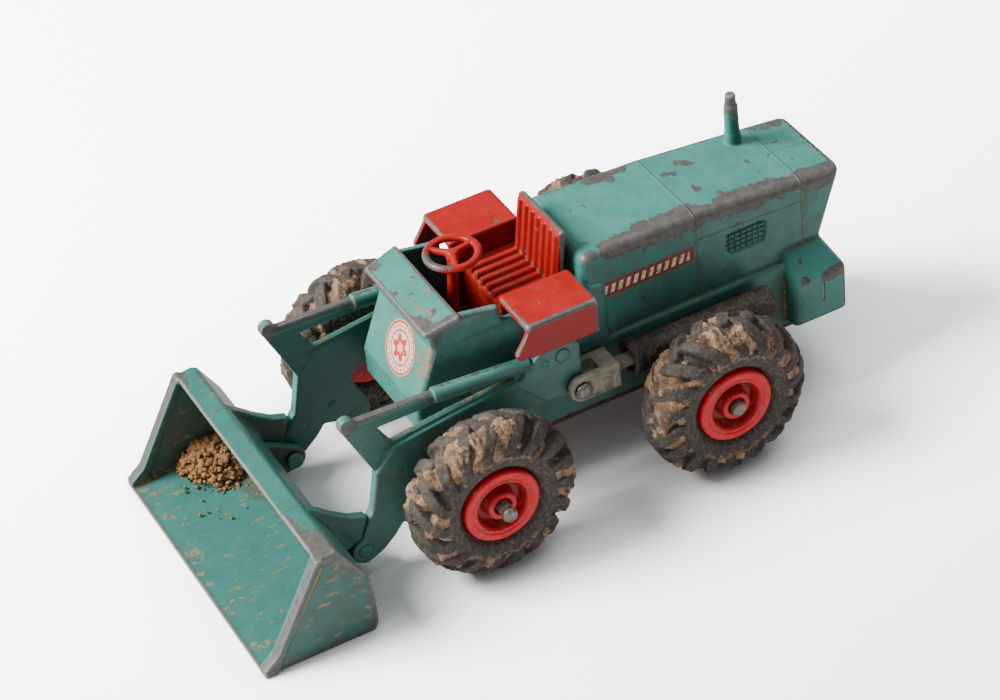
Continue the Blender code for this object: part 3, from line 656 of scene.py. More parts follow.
def rod(start, end, radius, end_radius=None, sides=24):
    """A closed cylinder or cone between two points in millimetres."""
    first = local(*start)
    axis = local(*end) - first
    shape = bmesh.new()
    last = radius if end_radius is None else end_radius
    bmesh.ops.create_cone(shape, cap_ends=True, segments=sides, radius1=radius * MM, radius2=last * MM,
                          depth=axis.length)
    turn = axis.to_track_quat("Z", "Y").to_matrix().to_4x4()
    bmesh.ops.transform(shape, matrix=Matrix.Translation(first + axis / 2) @ turn, verts=shape.verts)
    return shape


def dome(centre, radii):
    """A closed ellipsoid."""
    shape = bmesh.new()
    bmesh.ops.create_uvsphere(shape, u_segments=24, v_segments=16, radius=MM)
    for vertex in shape.verts:
        vertex.co = Vector([part * size for part, size in zip(vertex.co, radii)]) + local(*centre)
    return shape


def rounded(profile, radius, closed=True, steps=3):
    """A polyline with each corner cut to a short curve, no longer than 0.45 of its neighbours."""
    points = [Vector(point) for point in profile]
    made = []
    count = len(points)
    for index, point in enumerate(points):
        if not closed and index in (0, count - 1):
            made.append(tuple(point))
            continue
        before = points[index - 1] - point
        after = points[(index + 1) % count] - point
        start = point + before.normalized() * min(radius, before.length * 0.45)
        end = point + after.normalized() * min(radius, after.length * 0.45)
        for part in range(steps + 1):
            share = part / steps
            made.append(tuple(start.lerp(point, share).lerp(point.lerp(end, share), share)))
    return made


def turned(profile, side=1, steps=96, closed=True):
    """A (radius, x) profile turned about the piece's own X axis; side -1 turns it to the other end."""
    shape = bmesh.new()
    rings = [[shape.verts.new(local(side * x, y, z)) for y, z in circle(radius, steps)]
             for radius, x in profile]
    join_rings(shape, rings, closed)
    bmesh.ops.remove_doubles(shape, verts=shape.verts, dist=WELD)
    bmesh.ops.recalc_face_normals(shape, faces=shape.faces)
    return shape


# ---------------------------------------------------------------- wear on castings
def vectors(mesh, name):
    """The co or normal of every vertex."""
    values = np.empty(len(mesh.vertices) * 3)
    mesh.vertices.foreach_get(name, values)
    return values.reshape(-1, 3)


def mesh_points(mesh):
    return vectors(mesh, "co") / MM


def set_attribute(mesh, name, values):
    made = mesh.attributes.get(name) or mesh.attributes.new(name, "FLOAT", "POINT")
    made.data.foreach_set("value", np.asarray(values, np.float32))


def edge_measure(mesh, voxel, rounds=14):
    """How far each vertex stands out from its surroundings: near 1 on an outer edge, -1 in a corner."""
    points = mesh_points(mesh)
    count = len(points)
    ends = np.empty(len(mesh.edges) * 2, int)
    mesh.edges.foreach_get("vertices", ends)
    first, second = ends.reshape(-1, 2).T
    degree = np.bincount(first, minlength=count) + np.bincount(second, minlength=count)
    soft = points.copy()
    for _ in range(rounds):
        total = np.stack([np.bincount(first, soft[second, axis], count)
                          + np.bincount(second, soft[first, axis], count) for axis in range(3)], axis=1)
        soft = total / degree[:, None]
    standing = ((points - soft) * vectors(mesh, "normal")).sum(axis=1)
    return np.clip(standing / (voxel * math.sqrt(rounds) * 0.30), -1.0, 1.0)


def brushed(points, strokes):
    """The strongest stroke at each point. A stroke is (start, end, radius, strength) and fades outward."""
    result = np.zeros(len(points))
    for start, end, radius, strength in strokes:
        start = np.array(start, float)
        line = np.array(end, float) - start
        length = max(float(line @ line), 1e-9)
        share = np.clip(((points - start) @ line) / length, 0.0, 1.0)
        away = np.linalg.norm(points - start - share[:, None] * line, axis=1)
        fade = np.clip(1.35 - away / radius, 0.0, 1.0)
        result = np.maximum(result, strength * fade * fade * (3 - 2 * fade))
    return result


def remeshed(obj, voxel, smoothing):
    """Make the mesh fine and even, with soft edges, and return its edge measure."""
    remesh = obj.modifiers.new("fine", "REMESH")
    remesh.mode = "VOXEL"
    remesh.voxel_size = voxel * MM
    smooth = obj.modifiers.new("smooth", "SMOOTH")
    smooth.factor = 0.5
    smooth.iterations = smoothing
    applied(obj)
    return edge_measure(obj.data, voxel)


def set_wear(mesh, edge, wear, dirt, edge_gain, corner_gain):
    """Wear on the edges and strokes, and dirt in the corners and strokes."""
    points = mesh_points(mesh)
    set_attribute(mesh, "wear", np.clip(edge_gain * np.clip(edge, 0, 1) + brushed(points, wear), 0, 1.2))
    set_attribute(mesh, "dirt", np.clip(-corner_gain * np.clip(edge, -1, 0) + brushed(points, dirt), 0, 1.2))


def cast(name, node, material, body, voxel, wear=(), dirt=(), adds=(), cuts=(), keep=0.5,
         edge_gain=0.42, flakes=()):
    """A finely meshed copy of a CAD casting with soft edges. It stands for the CAD node and carries wear."""
    shape = bmesh.new()
    shape.from_mesh(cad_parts[node].data)
    bmesh.ops.translate(shape, vec=Vector((0.0, -AXLE_Y, 0.0)), verts=shape.verts)
    bmesh.ops.remove_doubles(shape, verts=shape.verts, dist=CAD_WELD)
    obj = new_object(name, shape)
    tools = []
    for cutter in cuts:
        tool = new_object("tool", cutter)
        made = obj.modifiers.new("cut", "BOOLEAN")
        made.operation = "DIFFERENCE"
        made.solver = "EXACT"
        made.object = tool
        tools.append(tool)
    if cuts:
        applied(obj)
    for tool in tools:
        bpy.data.objects.remove(tool)
    if adds:
        shape = bmesh.new()
        shape.from_mesh(obj.data)
        for extra in adds:
            add_shape(shape, extra)
        shape.to_mesh(obj.data)
        shape.free()
    edge = remeshed(obj, voxel, 2)
    set_attribute(obj.data, "edge", edge)
    thin = obj.modifiers.new("thin", "DECIMATE")
    thin.ratio = keep
    applied(obj)
    points = mesh_points(obj.data)
    normals = vectors(obj.data, "normal")
    outward = normals[:, 0] * np.sign(points[:, 0])
    # side: outward upright faces, which the enamel darkens with a film of dirt and painted shade.
    set_attribute(obj.data, "side", np.clip(outward * 1.1 - 0.4 * normals[:, 2], 0, 1))
    # inner: inward faces, which the enamel paints darker as painted shade.
    set_attribute(obj.data, "inner", np.clip(-outward * 1.6 - 0.6, 0, 1))
    edge = np.empty(len(points), np.float32)
    obj.data.attributes["edge"].data.foreach_get("value", edge)
    set_wear(obj.data, edge, wear, dirt, edge_gain, 0.55)
    set_attribute(obj.data, "flakes", brushed(points, flakes))
    place_piece(obj, material, body, (node,))


def both_sides(strokes):
    """Strokes given for the left side, and the same on the right."""
    made = list(strokes)
    for (ax, ay, az), (bx, by, bz), radius, strength in strokes:
        made.append(((-ax, ay, az), (-bx, by, bz), radius, strength))
    return made


# ---------------------------------------------------------------- body casting
GRILLE = [(46.4, 29.1), (52.4, 29.2), (53.1, 28.4), (52.6, 25.4), (46.9, 25.4), (46.1, 26.4)]
GRILLE_DEPTH = 0.45


def hood_half(y):
    """Half width of the hood, which narrows to the rear."""
    return 8.9 - 0.6 * max(0.0, (y - 23.0) / 43.4)


def body_casting():
    fill = prism([(24.0, 10.0), (24.0, 34.0), (41.4, 33.6), (60.3, 31.8), (60.3, 21.8), (54.5, 19.5),
                  (54.5, 10.0)], -7.2, 7.2)
    cab_fill = prism([(6.4, 10.0), (6.4, 19.3), (25.0, 19.3), (25.0, 10.0)], -7.9, 7.9)
    inner = hood_half(50.0) - GRILLE_DEPTH
    cuts = [prism(GRILLE, inner, 10.0), prism(GRILLE, -10.0, -inner)]
    wear = [
        ((8.2, 24.0, 34.7), (8.2, 25.2, 34.6), 1.0, 0.75),
        ((7.9, 27.5, 34.7), (7.8, 33.5, 34.5), 2.0, 0.76),
        ((7.7, 33.5, 34.5), (7.5, 40.9, 34.2), 2.6, 0.88),
        ((8.0, 42.2, 34.1), (7.9, 47.0, 33.8), 1.4, 0.80),
        ((7.4, 47.0, 33.8), (7.4, 55.0, 33.2), 2.4, 0.88),
        ((7.6, 55.0, 33.2), (7.6, 59.0, 32.8), 1.5, 0.86),
        ((7.6, 60.2, 32.7), (7.4, 65.6, 32.2), 2.3, 0.90),
        ((2.6, 45.0, 34.4), (3.2, 45.2, 34.4), 0.8, 0.72),
        ((5.2, 47.5, 34.3), (5.6, 47.6, 34.3), 0.8, 0.70),
        ((-4.2, 46.0, 34.4), (-3.2, 47.6, 34.4), 0.9, 0.72),
        ((-2.4, 43.0, 34.5), (-2.0, 44.4, 34.5), 0.8, 0.68),
        ((-4.0, 60.4, 33.9), (-3.4, 60.0, 33.9), 0.8, 0.72),
        ((-5.4, 35.4, 34.8), (-5.0, 36.0, 34.8), 0.7, 0.70),
        ((7.4, 66.0, 32.0), (-7.4, 66.0, 32.0), 1.1, 0.72),
        ((-8.0, 26.0, 35.0), (-7.8, 60.0, 33.2), 0.9, 0.55),
        ((-7.0, 33.0, 35.1), (-7.4, 38.0, 34.9), 1.7, 0.66),
        ((-6.5, 61.0, 32.9), (-6.5, 64.0, 32.5), 1.8, 0.62),
        ((9.3, -2.0, 33.2), (-9.3, -2.0, 33.2), 0.8, 0.82),
        ((9.3, -1.8, 33.5), (9.9, 3.4, 34.9), 1.5, 0.86),
        ((8.6, -1.2, 33.7), (6.3, -1.7, 33.6), 1.9, 0.78),
        ((-9.3, -1.8, 33.5), (-9.9, 3.4, 34.9), 0.7, 0.75),
        ((-9.2, -1.7, 33.6), (-8.4, -0.6, 33.9), 1.3, 0.75),
        ((6.8, 1.0, 34.2), (6.2, 1.4, 34.4), 0.6, 0.62),
        ((-2.0, -1.3, 33.7), (-1.0, -1.0, 33.8), 0.6, 0.60),
        ((8.4, -0.8, 29.4), (8.4, -1.4, 28.2), 0.8, 0.42),
        ((9.8, 3.3, 35.0), (-9.8, 3.3, 35.0), 0.5, 0.75),
        ((9.5, 1.4, 31.4), (9.5, 1.8, 30.6), 0.8, 0.80),
        ((9.4, 4.0, 33.9), (9.4, 9.6, 33.9), 0.5, 0.62),
        ((8.7, -1.0, 30.2), (9.2, 1.0, 33.0), 0.7, 0.62),
        ((12.1, 60.6, 17.7), (11.8, 63.8, 18.2), 1.2, 0.80),
        ((12.1, 64.0, 17.0), (12.1, 64.0, 12.0), 0.8, 0.70),
        ((10.2, 57.2, 20.6), (10.2, 57.4, 20.6), 0.6, 0.90),
        ((11.9, 56.9, 18.3), (11.9, 57.2, 18.2), 0.7, 0.95),
        ((-5.2, 56.0, 39.2), (-5.2, 56.0, 42.0), 1.5, 0.62),
    ] + both_sides([
        ((12.2, 55.2, 10.7), (12.2, 64.0, 10.7), 0.7, 0.62),
        ((9.5, 4.0, 9.6), (9.5, 55.0, 9.6), 0.7, 0.55),
    ])
    dirt = both_sides([
        ((9.0, 26.0, 20.6), (9.0, 54.0, 20.4), 1.4, 0.30),
        ((9.6, 28.0, 14.0), (9.6, 55.0, 14.0), 5.5, 0.50),
        ((8.6, 59.3, 24.0), (8.6, 59.3, 30.0), 0.9, 0.40),
        ((8.8, 41.5, 22.0), (8.8, 41.5, 27.0), 0.9, 0.48),
        ((8.6, 54.0, 22.0), (8.6, 62.0, 22.5), 1.0, 0.40),
        ((7.0, -3.0, 15.6), (6.8, 1.0, 12.0), 2.2, 0.55),
    ]) + [
        ((9.3, 0.4, 24.0), (9.5, 6.0, 25.5), 1.6, 0.32),
    ]
    flakes = [
        ((7.4, -0.9, 28.8), (7.8, -2.2, 26.4), 1.5, 0.70),
        ((6.6, -2.4, 25.6), (7.6, -3.4, 23.2), 1.1, 0.52),
        ((5.0, -1.5, 27.6), (5.6, -2.6, 24.6), 0.7, 0.50),
        ((-3.6, -1.0, 28.8), (2.6, -0.8, 29.2), 0.7, 0.44),
        ((-8.2, -3.8, 22.0), (-7.0, -2.6, 24.6), 1.0, 0.36),
        ((5.4, 0.8, 34.3), (7.2, 0.0, 34.1), 1.0, 0.60),
        ((1.0, -0.9, 33.9), (4.2, -0.2, 34.1), 0.8, 0.52),
        ((-7.0, 0.4, 34.1), (2.4, 2.2, 34.8), 1.1, 0.34),
        ((9.4, 1.0, 22.4), (9.5, 7.0, 24.5), 2.6, 0.22),
        ((8.2, 43.0, 31.2), (8.2, 58.0, 30.5), 0.8, 0.34),
        ((9.0, 27.0, 20.6), (9.0, 54.0, 20.6), 1.0, 0.34),
    ]
    cast("body_enamelled", "body_casting", TEAL_BODY, "chassis", 0.2, wear, dirt,
         (fill, cab_fill), cuts, 0.40, 0.20, flakes)


def grille_wires():
    """Upright and level wires across both grille recesses."""
    wire = 0.11
    for name, side in (("grille_left", 1), ("grille_right", -1)):
        x = side * (hood_half(50.0) - GRILLE_DEPTH + 0.12)
        shape = bmesh.new()
        for index in range(6):
            y = 46.9 + 0.98 * index
            add_shape(shape, rod((x, y, 25.5), (x, y + 0.15, 29.1), wire, sides=10))
        for index in range(4):
            z = 26.1 + 0.80 * index
            add_shape(shape, rod((x, 46.4, z), (x, 52.8, z + 0.05), wire, sides=10))
        obj = new_object(name, shape)
        points = mesh_points(obj.data)
        set_attribute(obj.data, "wear", np.full(len(points), 0.16))
        set_attribute(obj.data, "dirt", np.full(len(points), 0.35))
        # The wires take the full side film of dirt and painted shade.
        set_attribute(obj.data, "side", np.ones(len(points)))
        place_piece(obj, TEAL_PLAIN, "chassis")


STRIP_START_Y = 21.9
STRIP_LENGTH = 18.9
STRIP_HALF = 1.3
STRIP_Z = 28.4
STRIP_PITCH = 1.25
STRIP_THICKNESS = 0.06
TRANSFER_GAP = 0.02


def lay_on(obj, material, place, across, up, outward):
    """Lay a transfer, drawn in X and Y, on a face of the chassis."""
    obj.data.materials.append(material)
    obj.matrix_world = Matrix.Translation(place) @ Matrix((across, up, outward)).transposed().to_4x4()
    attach(obj, "chassis")


def side_strips():
    """Thin transfers on both sides of the hood, in their own coordinates: X along, Y up."""
    for name, side in (("strip_left", 1), ("strip_right", -1)):
        shape = bmesh.new()
        columns = 40
        rows = 6
        grid = []
        for row in range(rows + 1):
            height = -STRIP_HALF + 2 * STRIP_HALF * row / rows
            grid.append([shape.verts.new(local(STRIP_LENGTH * column / columns, height, 0.0))
                         for column in range(columns + 1)])
        for low, high in zip(grid, grid[1:]):
            for column in range(columns):
                shape.faces.new((low[column], low[column + 1], high[column + 1], high[column]))
        obj = new_object(name, shape)
        skin = obj.modifiers.new("thickness", "SOLIDIFY")
        skin.thickness = STRIP_THICKNESS * MM
        skin.offset = 0.0
        soft = obj.modifiers.new("edge", "BEVEL")
        soft.width = 0.02 * MM
        soft.segments = 2
        ends = (STRIP_START_Y, STRIP_START_Y + STRIP_LENGTH)[::side]
        first, last = [in_frame(side * (hood_half(y) + TRANSFER_GAP), y, STRIP_Z) for y in ends]
        along = (last - first).normalized()
        outward = along.cross(Vector((0.0, 0.0, 1.0))).normalized()
        lay_on(obj, STRIP, first, along, outward.cross(along), outward)


BADGE_R = 4.15
NOSE_TOP = (-0.6, 29.6)
NOSE_FOLD = (-4.2, 21.0)
BADGE_Z = 25.8
BADGE_HALF_THICKNESS = 0.06


def nose_badge():
    """A thin round transfer on the upper face of the nose, in its own coordinates: X across, Y up."""
    slope = Vector((0.0, NOSE_TOP[0] - NOSE_FOLD[0], NOSE_TOP[1] - NOSE_FOLD[1])).normalized()
    across = Vector((1.0, 0.0, 0.0))
    outward = across.cross(slope)
    share = (NOSE_TOP[1] - BADGE_Z) / (NOSE_TOP[1] - NOSE_FOLD[1])
    centre_y = NOSE_TOP[0] + share * (NOSE_FOLD[0] - NOSE_TOP[0])
    half = BADGE_HALF_THICKNESS
    profile = [(0.0, half), (BADGE_R - 0.05, half), (BADGE_R, 0.0), (BADGE_R - 0.05, -half), (0.0, -half)]
    shape = bmesh.new()
    rings = [[shape.verts.new(local(x, y, height)) for x, y in circle(radius, 96)]
             for radius, height in profile]
    join_rings(shape, rings, False)
    bmesh.ops.remove_doubles(shape, verts=shape.verts, dist=WELD)
    obj = new_object("nose_badge", shape)
    centre = in_frame(0.6, centre_y, BADGE_Z) + outward * TRANSFER_GAP * MM
    lay_on(obj, BADGE, centre, across, slope, outward)


# ---------------------------------------------------------------- seat unit and steering wheel
def seat_unit():
    wear = [
        ((15.8, 10.8, 33.5), (15.8, 21.4, 33.5), 0.62, 1.0),
        ((15.8, 21.5, 33.2), (15.8, 21.5, 28.4), 0.65, 0.85),
        ((9.5, 21.5, 33.5), (15.6, 21.5, 33.5), 0.4, 0.62),
        ((15.5, 8.8, 29.6), (15.7, 10.4, 33.2), 0.5, 0.72),
        ((13.6, 10.5, 33.5), (15.6, 10.5, 33.4), 0.7, 0.80),
        ((8.2, 10.5, 33.5), (13.0, 10.5, 33.5), 0.35, 0.60),
        ((-5.8, 22.1, 38.8), (5.8, 22.1, 38.8), 0.6, 0.70),
        ((3.0, 20.0, 38.3), (3.0, 20.0, 37.4), 0.6, 0.66),
        ((-3.6, 20.0, 38.3), (-3.6, 20.0, 37.8), 0.5, 0.66),
        ((0.0, 20.4, 38.4), (-1.8, 20.4, 38.4), 0.5, 0.60),
        ((6.0, 21.9, 38.5), (6.0, 21.3, 31.0), 0.6, 0.80),
        ((-6.0, 21.9, 38.5), (-6.0, 21.6, 35.0), 0.6, 0.66),
        ((-15.7, 10.5, 33.4), (-15.7, 21.2, 33.4), 0.5, 0.58),
        ((-8.2, 10.5, 33.5), (-15.5, 10.5, 33.5), 0.5, 0.66),
        ((-15.5, 8.8, 29.6), (-15.7, 10.4, 33.2), 0.5, 0.60),
    ]
    dirt = [
        ((-5.6, 20.6, 30.0), (5.6, 20.6, 30.0), 0.9, 0.50),
        ((-3.5, 14.0, 29.2), (3.5, 14.0, 29.2), 6.0, 0.34),
        ((-6.8, 4.0, 22.0), (6.8, 4.0, 22.0), 3.5, 0.30),
    ]
    cast("seat_enamelled", "seat_unit", RED, "chassis", 0.15, wear, dirt, edge_gain=0.22)


def steering_wheel():
    low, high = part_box("steering_wheel")
    ring_r = 3.65
    tube = 0.58
    hub_y = high.y / MM - AXLE_Y / MM - ring_r - tube
    hub_z = high.z / MM - 0.5
    shape = bmesh.new()
    rings = []
    for index in range(96):
        angle = math.tau * index / 96
        ring = []
        for part in range(20):
            turn = math.tau * part / 20
            reach = ring_r + tube * math.cos(turn)
            ring.append(shape.verts.new(local(reach * math.cos(angle), hub_y + reach * math.sin(angle),
                                              hub_z + tube * 0.92 * math.sin(turn))))
        rings.append(ring)
    join_rings(shape, rings, True)
    adds = [rod((0, hub_y, hub_z - 0.7), (0, hub_y, hub_z + 0.35), 0.98, 0.85),
            dome((0, hub_y, hub_z + 0.3), (0.8, 0.8, 0.3))]
    for angle in (102, 222, 342):
        turn = math.radians(angle)
        tip = (ring_r * math.cos(turn), hub_y + ring_r * math.sin(turn), hub_z)
        adds.append(rod((0, hub_y, hub_z), tip, 0.62, 0.42))
    adds.append(rod((0, 6.0, low.z / MM), (0, hub_y, hub_z), 0.85, 0.75))
    for extra in adds:
        add_shape(shape, extra)
    obj = new_object("steering_wheel_enamelled", shape)
    wear = [
        ((1.6, hub_y - 3.8, hub_z + 0.3), (-1.4, hub_y - 3.7, hub_z + 0.3), 0.9, 0.72),
        ((3.2, hub_y - 2.0, hub_z + 0.3), (1.6, hub_y - 3.7, hub_z + 0.3), 0.7, 0.66),
        ((0.0, hub_y - 2.0, hub_z + 0.3), (-0.6, hub_y - 2.6, hub_z + 0.3), 0.6, 0.6),
    ]
    edge = remeshed(obj, 0.11, 3)
    set_wear(obj.data, edge, wear, (), 0.2, 0.5)
    place_piece(obj, RED, "chassis", ("steering_wheel",))


# ---------------------------------------------------------------- lift arms, bucket and rams
def lift_arm(side_name, side):
    x = side * 12.45
    outer = side * 13.6
    inner = side * 11.95
    wear = [
        ((x, -17.3, 26.4), (x, -16.4, 26.8), 1.5, 1.1),
        ((x, -16.5, 27.4), (x, -4.2, 27.0), 0.9, 0.95),
        ((x, -9.5, 27.2), (x, -7.0, 27.1), 1.0, -0.1),
        ((x, -3.8, 26.0), (x, -3.2, 26.0), 1.2, 0.72),
        ((outer, -16.8, 25.6), (outer, -14.0, 18.5), 0.7, 0.50),
        ((x, -12.6, 24.6), (x, -10.8, 21.4), 0.7, 0.50),
        ((x, -2.6, 27.0), (x, 9.0, 26.0), 0.5, 0.45),
        ((outer, -15.2, 10.6), (outer, -14.0, 16.5), 0.5, 0.55),
        ((outer, -18.6, 5.6), (outer, -16.6, 2.6), 0.7, 0.50),
    ]
    dirt = [
        ((x, -11.6, 20.6), (x, -7.5, 21.3), 0.7, 0.95),
        ((x, -7.0, 21.4), (x, 3.0, 22.6), 0.55, 0.88),
        ((outer, -13.9, 17.0), (outer, -12.0, 20.0), 0.6, 0.70),
        ((outer, -10.1, 16.2), (outer, -10.1, 16.2), 0.7, 0.95),
        ((x, -12.0, 24.2), (x, -10.6, 21.6), 0.7, 0.60),
        ((outer, 6.0, 24.3), (outer, 11.0, 24.8), 0.7, 0.55),
        ((inner, -3.0, 8.0), (inner, -8.0, 6.0), 1.2, 0.45),
    ]
    flakes = [
        ((x, -11.8, 20.2), (x, 9.0, 23.4), 0.6, 0.52),
        ((outer, -13.9, 17.0), (outer, -12.0, 20.0), 0.6, 0.55),
    ]
    marks = [
        dome((side * 13.62, -10.1, 16.2), (0.28, 0.62, 0.62)),
        dome((side * 11.88, -8.9, 9.9), (0.25, 0.60, 0.60)),
        dome((side * 13.62, 13.6, 24.3), (0.26, 0.55, 0.55)),
    ]
    cast("arm_enamelled_" + side_name, "lift_arm_" + side_name, TEAL_ARM, "lift_frame",
         0.15, wear, dirt, marks, edge_gain=0.30, flakes=flakes)


BUCKET_SIDE_X = 23.9


def bucket():
    chance = random.Random(12)
    scratches = []
    flakes = [
        ((22.0, -37.2, 0.6), (22.8, -33.0, 2.0), 0.8, 0.62),
        ((-22.0, -37.2, 0.6), (-22.8, -33.0, 1.4), 0.8, 0.60),
        ((12.8, -19.6, 9.6), (12.8, -18.0, 6.8), 0.8, 0.60),
        ((-22.8, -24.0, 1.5), (-10.0, -22.6, 1.6), 1.4, 0.50),
    ]
    for _ in range(80):
        x = chance.uniform(-21.5, 21.5)
        y = -37.4 + 13.0 * chance.random() ** 2.4
        z = 0.4 + 0.06 * (y + 38.0)
        length = chance.uniform(0.2, 1.5)
        flakes.append(((x, y, z), (x + 0.25 * length, y + length, z), chance.uniform(0.2, 0.42),
                       chance.uniform(0.45, 0.72)))
    for marks, count, period, heights, front, rear, longest, fall, radii, strengths in (
            (flakes, 46, 2, (1.0, 15.0), -34.6, -21.4, 2.0, 0.12, (0.22, 0.42), (0.50, 0.76)),
            (scratches, 12, 3, (1.5, 14.5), -34.0, -21.6, 2.2, 0.10, (0.30, 0.60), (0.56, 0.78))):
        for index in range(count):
            side = BUCKET_SIDE_X if index % period else -BUCKET_SIDE_X
            z = chance.uniform(*heights)
            y = chance.uniform(front + 0.5 * z, rear)
            length = chance.uniform(0.3, longest)
            marks.append(((side, y, z), (side, y + length, z - fall * length), chance.uniform(*radii),
                          chance.uniform(*strengths)))
    wear = both_sides([
        ((23.6, -28.2, 16.2), (23.6, -35.8, 3.1), 0.80, 1.1),
        ((23.6, -35.8, 3.0), (23.6, -38.0, 0.4), 0.9, 1.1),
    ]) + scratches + [
        ((-23.4, -28.1, 16.2), (23.4, -28.1, 16.2), 0.55, 1.0),
        ((19.0, -26.4, 16.7), (23.4, -26.0, 16.5), 1.9, 0.82),
        ((14.0, -27.6, 16.6), (18.0, -27.3, 16.6), 0.8, 0.72),
        ((23.8, -25.2, 16.0), (23.8, -21.5, 11.0), 0.8, 0.70),
        ((23.9, -36.6, 0.3), (23.9, -21.2, 0.3), 0.65, 0.85),
        ((-23.9, -36.6, 0.3), (-23.9, -21.2, 0.3), 0.6, 0.75),
        ((23.8, -20.5, 1.2), (23.8, -20.7, 8.4), 0.6, 0.72),
        ((-23.4, -37.9, 0.2), (23.4, -37.9, 0.2), 0.5, 0.72),
        ((-23.6, -27.0, 16.5), (-20.5, -27.4, 16.6), 0.8, 0.68),
        ((23.7, -24.4, 13.2), (23.7, -24.0, 12.4), 0.9, 0.62),
        ((-13.0, -24.6, 16.4), (-12.0, -23.9, 15.8), 0.6, 0.62),
    ]
    dirt = [
        ((12.8, -19.6, 9.6), (12.8, -18.0, 6.8), 0.9, 1.1),
        ((-12.8, -19.6, 9.6), (-12.8, -18.0, 6.8), 0.8, 0.7),
        ((12.6, -22.6, 14.6), (12.6, -16.4, 10.6), 0.8, 0.55),
        ((-22.4, -37.0, 1.0), (-22.4, -30.0, 1.3), 0.9, 0.50),
        ((-22.8, -24.0, 1.5), (-10.0, -22.5, 1.6), 2.6, 0.75),
        ((-10.0, -22.5, 1.6), (22.0, -22.2, 1.6), 1.1, 0.40),
        ((23.9, -27.2, 15.0), (23.9, -34.9, 2.4), 0.30, 1.0),
        ((-23.4, -37.6, 0.5), (23.0, -37.6, 0.5), 0.7, 0.50),
        ((22.5, -36.5, 0.9), (22.5, -28.0, 1.3), 0.7, 0.45),
    ]
    cast("bucket_enamelled", "bucket", TEAL_BUCKET_SHADED, "bucket", 0.18, wear, dirt, keep=0.45,
         edge_gain=0.24, flakes=flakes)


def soil_heap():
    """Crumbly dry soil in the far inner corner of the bucket: a rough mound under loose crumbs."""
    chance = random.Random(7)
    middle_x, middle_y, floor_z = -21.4, -25.9, 1.1
    reach_x, reach_y, top = 7.6, 4.9, 3.7
    shape = bmesh.new()
    bmesh.ops.create_icosphere(shape, subdivisions=5, radius=1.0)
    for vertex in shape.verts:
        rough = noise.noise(vertex.co * 2.6) * 0.34 + noise.noise(vertex.co * 7.0) * 0.20
        rough += noise.noise(vertex.co * 17.0) * 0.10
        x, y, z = vertex.co * (0.86 + rough)
        vertex.co = local(max(middle_x + x * reach_x, -23.0), min(middle_y + y * reach_y, -21.7),
                          max(floor_z + z * top, 0.95))
    for _ in range(560):
        turn = chance.uniform(0.0, math.tau)
        away = math.sqrt(chance.random()) * 1.08
        x = middle_x + reach_x * away * math.cos(turn)
        y = middle_y + reach_y * away * math.sin(turn)
        size = 0.10 + 0.42 * chance.random() ** 2.2
        z = floor_z + max(size * 0.4, top * 0.86 * math.sqrt(max(0.0, 1.0 - away * away)))
        if -22.6 < x and y < -21.9:
            add_shape(shape, crumb((x, y, z), size, chance))
    for _ in range(36):
        x = -21.0 + 14.0 * chance.random() ** 1.4
        y = -32.5 + 9.0 * chance.random()
        size = chance.uniform(0.10, 0.34)
        add_shape(shape, crumb((x, y, floor_z + size * 0.3), size, chance))
    obj = new_object("bucket_soil", shape)
    place_piece(obj, SOIL, "bucket")


def crumb(centre, size, chance):
    """A small lump with a broken surface."""
    shape = bmesh.new()
    bmesh.ops.create_icosphere(shape, subdivisions=2, radius=1.0)
    offset = Vector([chance.uniform(-50, 50) for _ in range(3)])
    squash = Vector((chance.uniform(0.8, 1.2), chance.uniform(0.8, 1.2), chance.uniform(0.6, 0.95)))
    for vertex in shape.verts:
        swell = 1.0 + 0.55 * noise.noise(vertex.co * 1.4 + offset)
        swell += 0.25 * noise.noise(vertex.co * 3.4 + offset)
        place = Vector([part * scale for part, scale in zip(vertex.co * swell * size, squash)])
        vertex.co = place * MM + local(*centre)
    return shape


RAM_PIVOT = (18.3, 18.4)
LIFT_PIVOT = (16.4, 24.5)
BUCKET_PIVOT = (-16.8, 4.6)
RAM_X = middle("ram_rod_left").x / MM
ARM_INNER_X = 11.9
ARM_THICK = 1.7
FORK_OUTER_X = ARM_INNER_X + ARM_THICK + 1.5


def ram_rod(side_name, side):
    """The bare zinc fork with a raised border, a ring round the rivet and a plain bar."""
    pivot_z = RAM_PIVOT[1]
    leg = [(24.3, pivot_z - 1.9), (24.3, pivot_z + 1.9)] + arc(RAM_PIVOT, 1.9, range(90, 271, 15))
    raised_x = sorted((side * (FORK_OUTER_X - 0.1), side * (FORK_OUTER_X + 0.22)))
    border = frame_band(leg, 0.84, *raised_x)
    collar = frame_band(arc(RAM_PIVOT, 1.62, range(0, 360, 10)), 0.86, *raised_x)
    bar_x = sorted((side * (FORK_OUTER_X - 0.1), side * (FORK_OUTER_X + 0.16)))
    low_z, high_z = pivot_z - 0.5, pivot_z + 0.35
    bar = prism([(21.3, low_z), (23.1, low_z), (23.1, high_z), (21.3, high_z)], *bar_x)
    cast("fork_zinc_" + side_name, "ram_rod_" + side_name, ZINC, "ram_" + side_name, 0.12,
         adds=(border, collar, bar))
    end = FORK_OUTER_X + 0.3
    profile = [(0.0, 10.1), (1.3, 10.1), (1.3, 10.6), (0.8, 10.6), (0.8, end), (1.28, end),
               (1.34, end + 0.18), (1.12, end + 0.52), (0.7, end + 0.72), (0.0, end + 0.8)]
    rivet = new_object("rivet_domed_" + side_name, turned(rounded(profile, 0.15, False), side, 48, False))
    place_piece(rivet, STEEL, "lift_frame", ("ram_rivet_" + side_name,), (0.0, *RAM_PIVOT))


